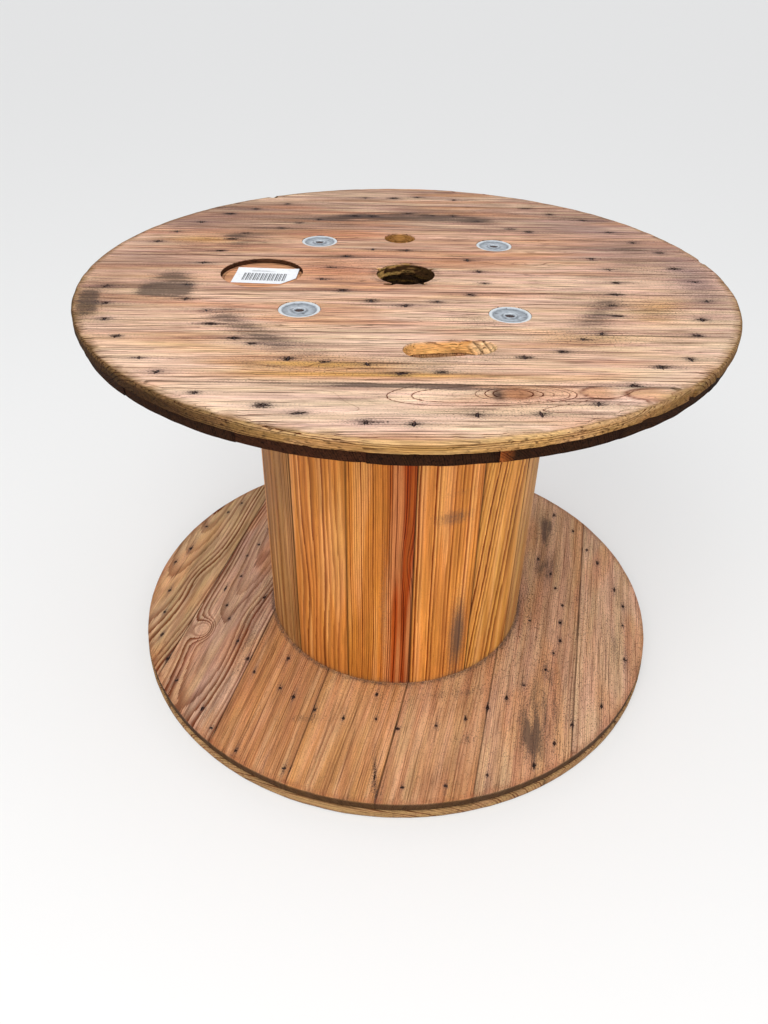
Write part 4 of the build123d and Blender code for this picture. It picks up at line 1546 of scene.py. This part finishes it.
def place_camera(scene):
    """The camera, standing where the photograph was taken from, at eye height before the drum."""
    yaw, pitch, roll = -0.0220, 0.6363, 0.0182
    focal_pixels = 803.5
    image_height = 1024
    camera_data = bpy.data.cameras.new("camera")
    camera_data.sensor_width = 36
    camera_data.lens = focal_pixels * camera_data.sensor_width / image_height
    camera = bpy.data.objects.new("camera", camera_data)
    scene.collection.objects.link(camera)
    ahead = Vector((sin(yaw) * cos(pitch), cos(yaw) * cos(pitch), -sin(pitch)))
    level = Vector((cos(yaw), -sin(yaw), 0))
    upright = level.cross(ahead)
    right = cos(roll) * level + sin(roll) * upright
    up = cos(roll) * upright - sin(roll) * level
    turn = Matrix((right, up, -ahead)).transposed().to_4x4()
    camera.matrix_world = moved(0, -1.1092, 1.0323) @ turn
    scene.camera = camera


class DRUM_OT_stage(bpy.types.Operator):
    """Sets up the floor, the light and the camera."""

    bl_idname = "drum.stage"
    bl_label = "Stage"

    def execute(self, context):
        scene = context.scene
        scene.view_settings.view_transform = "Standard"
        floor = start(bpy.ops.mesh.primitive_plane_add, size=80)
        floor.name = "floor"
        pale_floor()
        floor.data.materials.append(FINISHES["pale_floor"])
        world = bpy.data.worlds.new("soft_daylight")
        scene.world = world
        world.use_nodes = True
        add = partial(add_node, world.node_tree)
        strength = add("MapRange", {0: seen_plainly(add), 3: 0.82, 4: 1.0})
        feed(world.node_tree.nodes["Background"], {"Color": "#fbfcff", "Strength": strength})
        for name, place, size, power, target in (
                ("sky_window", (-0.7, -2.1, 2.7), 2.2, 48, (0, 0, 0.45)),
                ("low_screen", (0.5, -2.6, 0.75), 1.8, 22, (0, 0, 0.2))):
            lamp = bpy.data.lights.new(name, "AREA")
            lamp.shape = "DISK"
            lamp.size = size
            lamp.energy = power
            window = bpy.data.objects.new(name, lamp)
            scene.collection.objects.link(window)
            window.location = place
            window.rotation_euler = (Vector(target) - window.location).to_track_quat("-Z", "Y").to_euler()
        place_camera(scene)
        return {"FINISHED"}


OPERATORS = (DRUM_OT_stage, DRUM_OT_flange_boards, DRUM_OT_staves, DRUM_OT_nuts, DRUM_OT_tie_rods,
             DRUM_OT_nails, DRUM_OT_label)


class DRUM_PT_panel(bpy.types.Panel):
    """Lists the drum's pieces and its sizes."""

    bl_label = "Cable drum"
    bl_space_type = "VIEW_3D"
    bl_region_type = "UI"
    bl_category = "Drum"

    def draw(self, context):
        for operator in OPERATORS:
            self.layout.operator(operator.bl_idname)
        for group in (context.scene.drum_sizes, context.scene.drum_colours):
            for key in group.bl_rna.properties.keys():
                if key not in ("rna_type", "name"):
                    self.layout.prop(group, key)


CLASSES = (DrumSizes, DrumColours, *OPERATORS, DRUM_PT_panel)


def register():
    for cls in CLASSES:
        bpy.utils.register_class(cls)
    bpy.types.Scene.drum_sizes = bpy.props.PointerProperty(type=DrumSizes)
    bpy.types.Scene.drum_colours = bpy.props.PointerProperty(type=DrumColours)


def unregister():
    del bpy.types.Scene.drum_colours
    del bpy.types.Scene.drum_sizes
    for cls in reversed(CLASSES):
        bpy.utils.unregister_class(cls)


def main():
    register()
    bpy.ops.drum.stage()
    bpy.ops.drum.flange_boards()
    bpy.ops.drum.staves()
    bpy.ops.drum.nuts()
    bpy.ops.drum.tie_rods()
    bpy.ops.drum.nails()
    bpy.ops.drum.label()


if __name__ == "__main__":
    main()
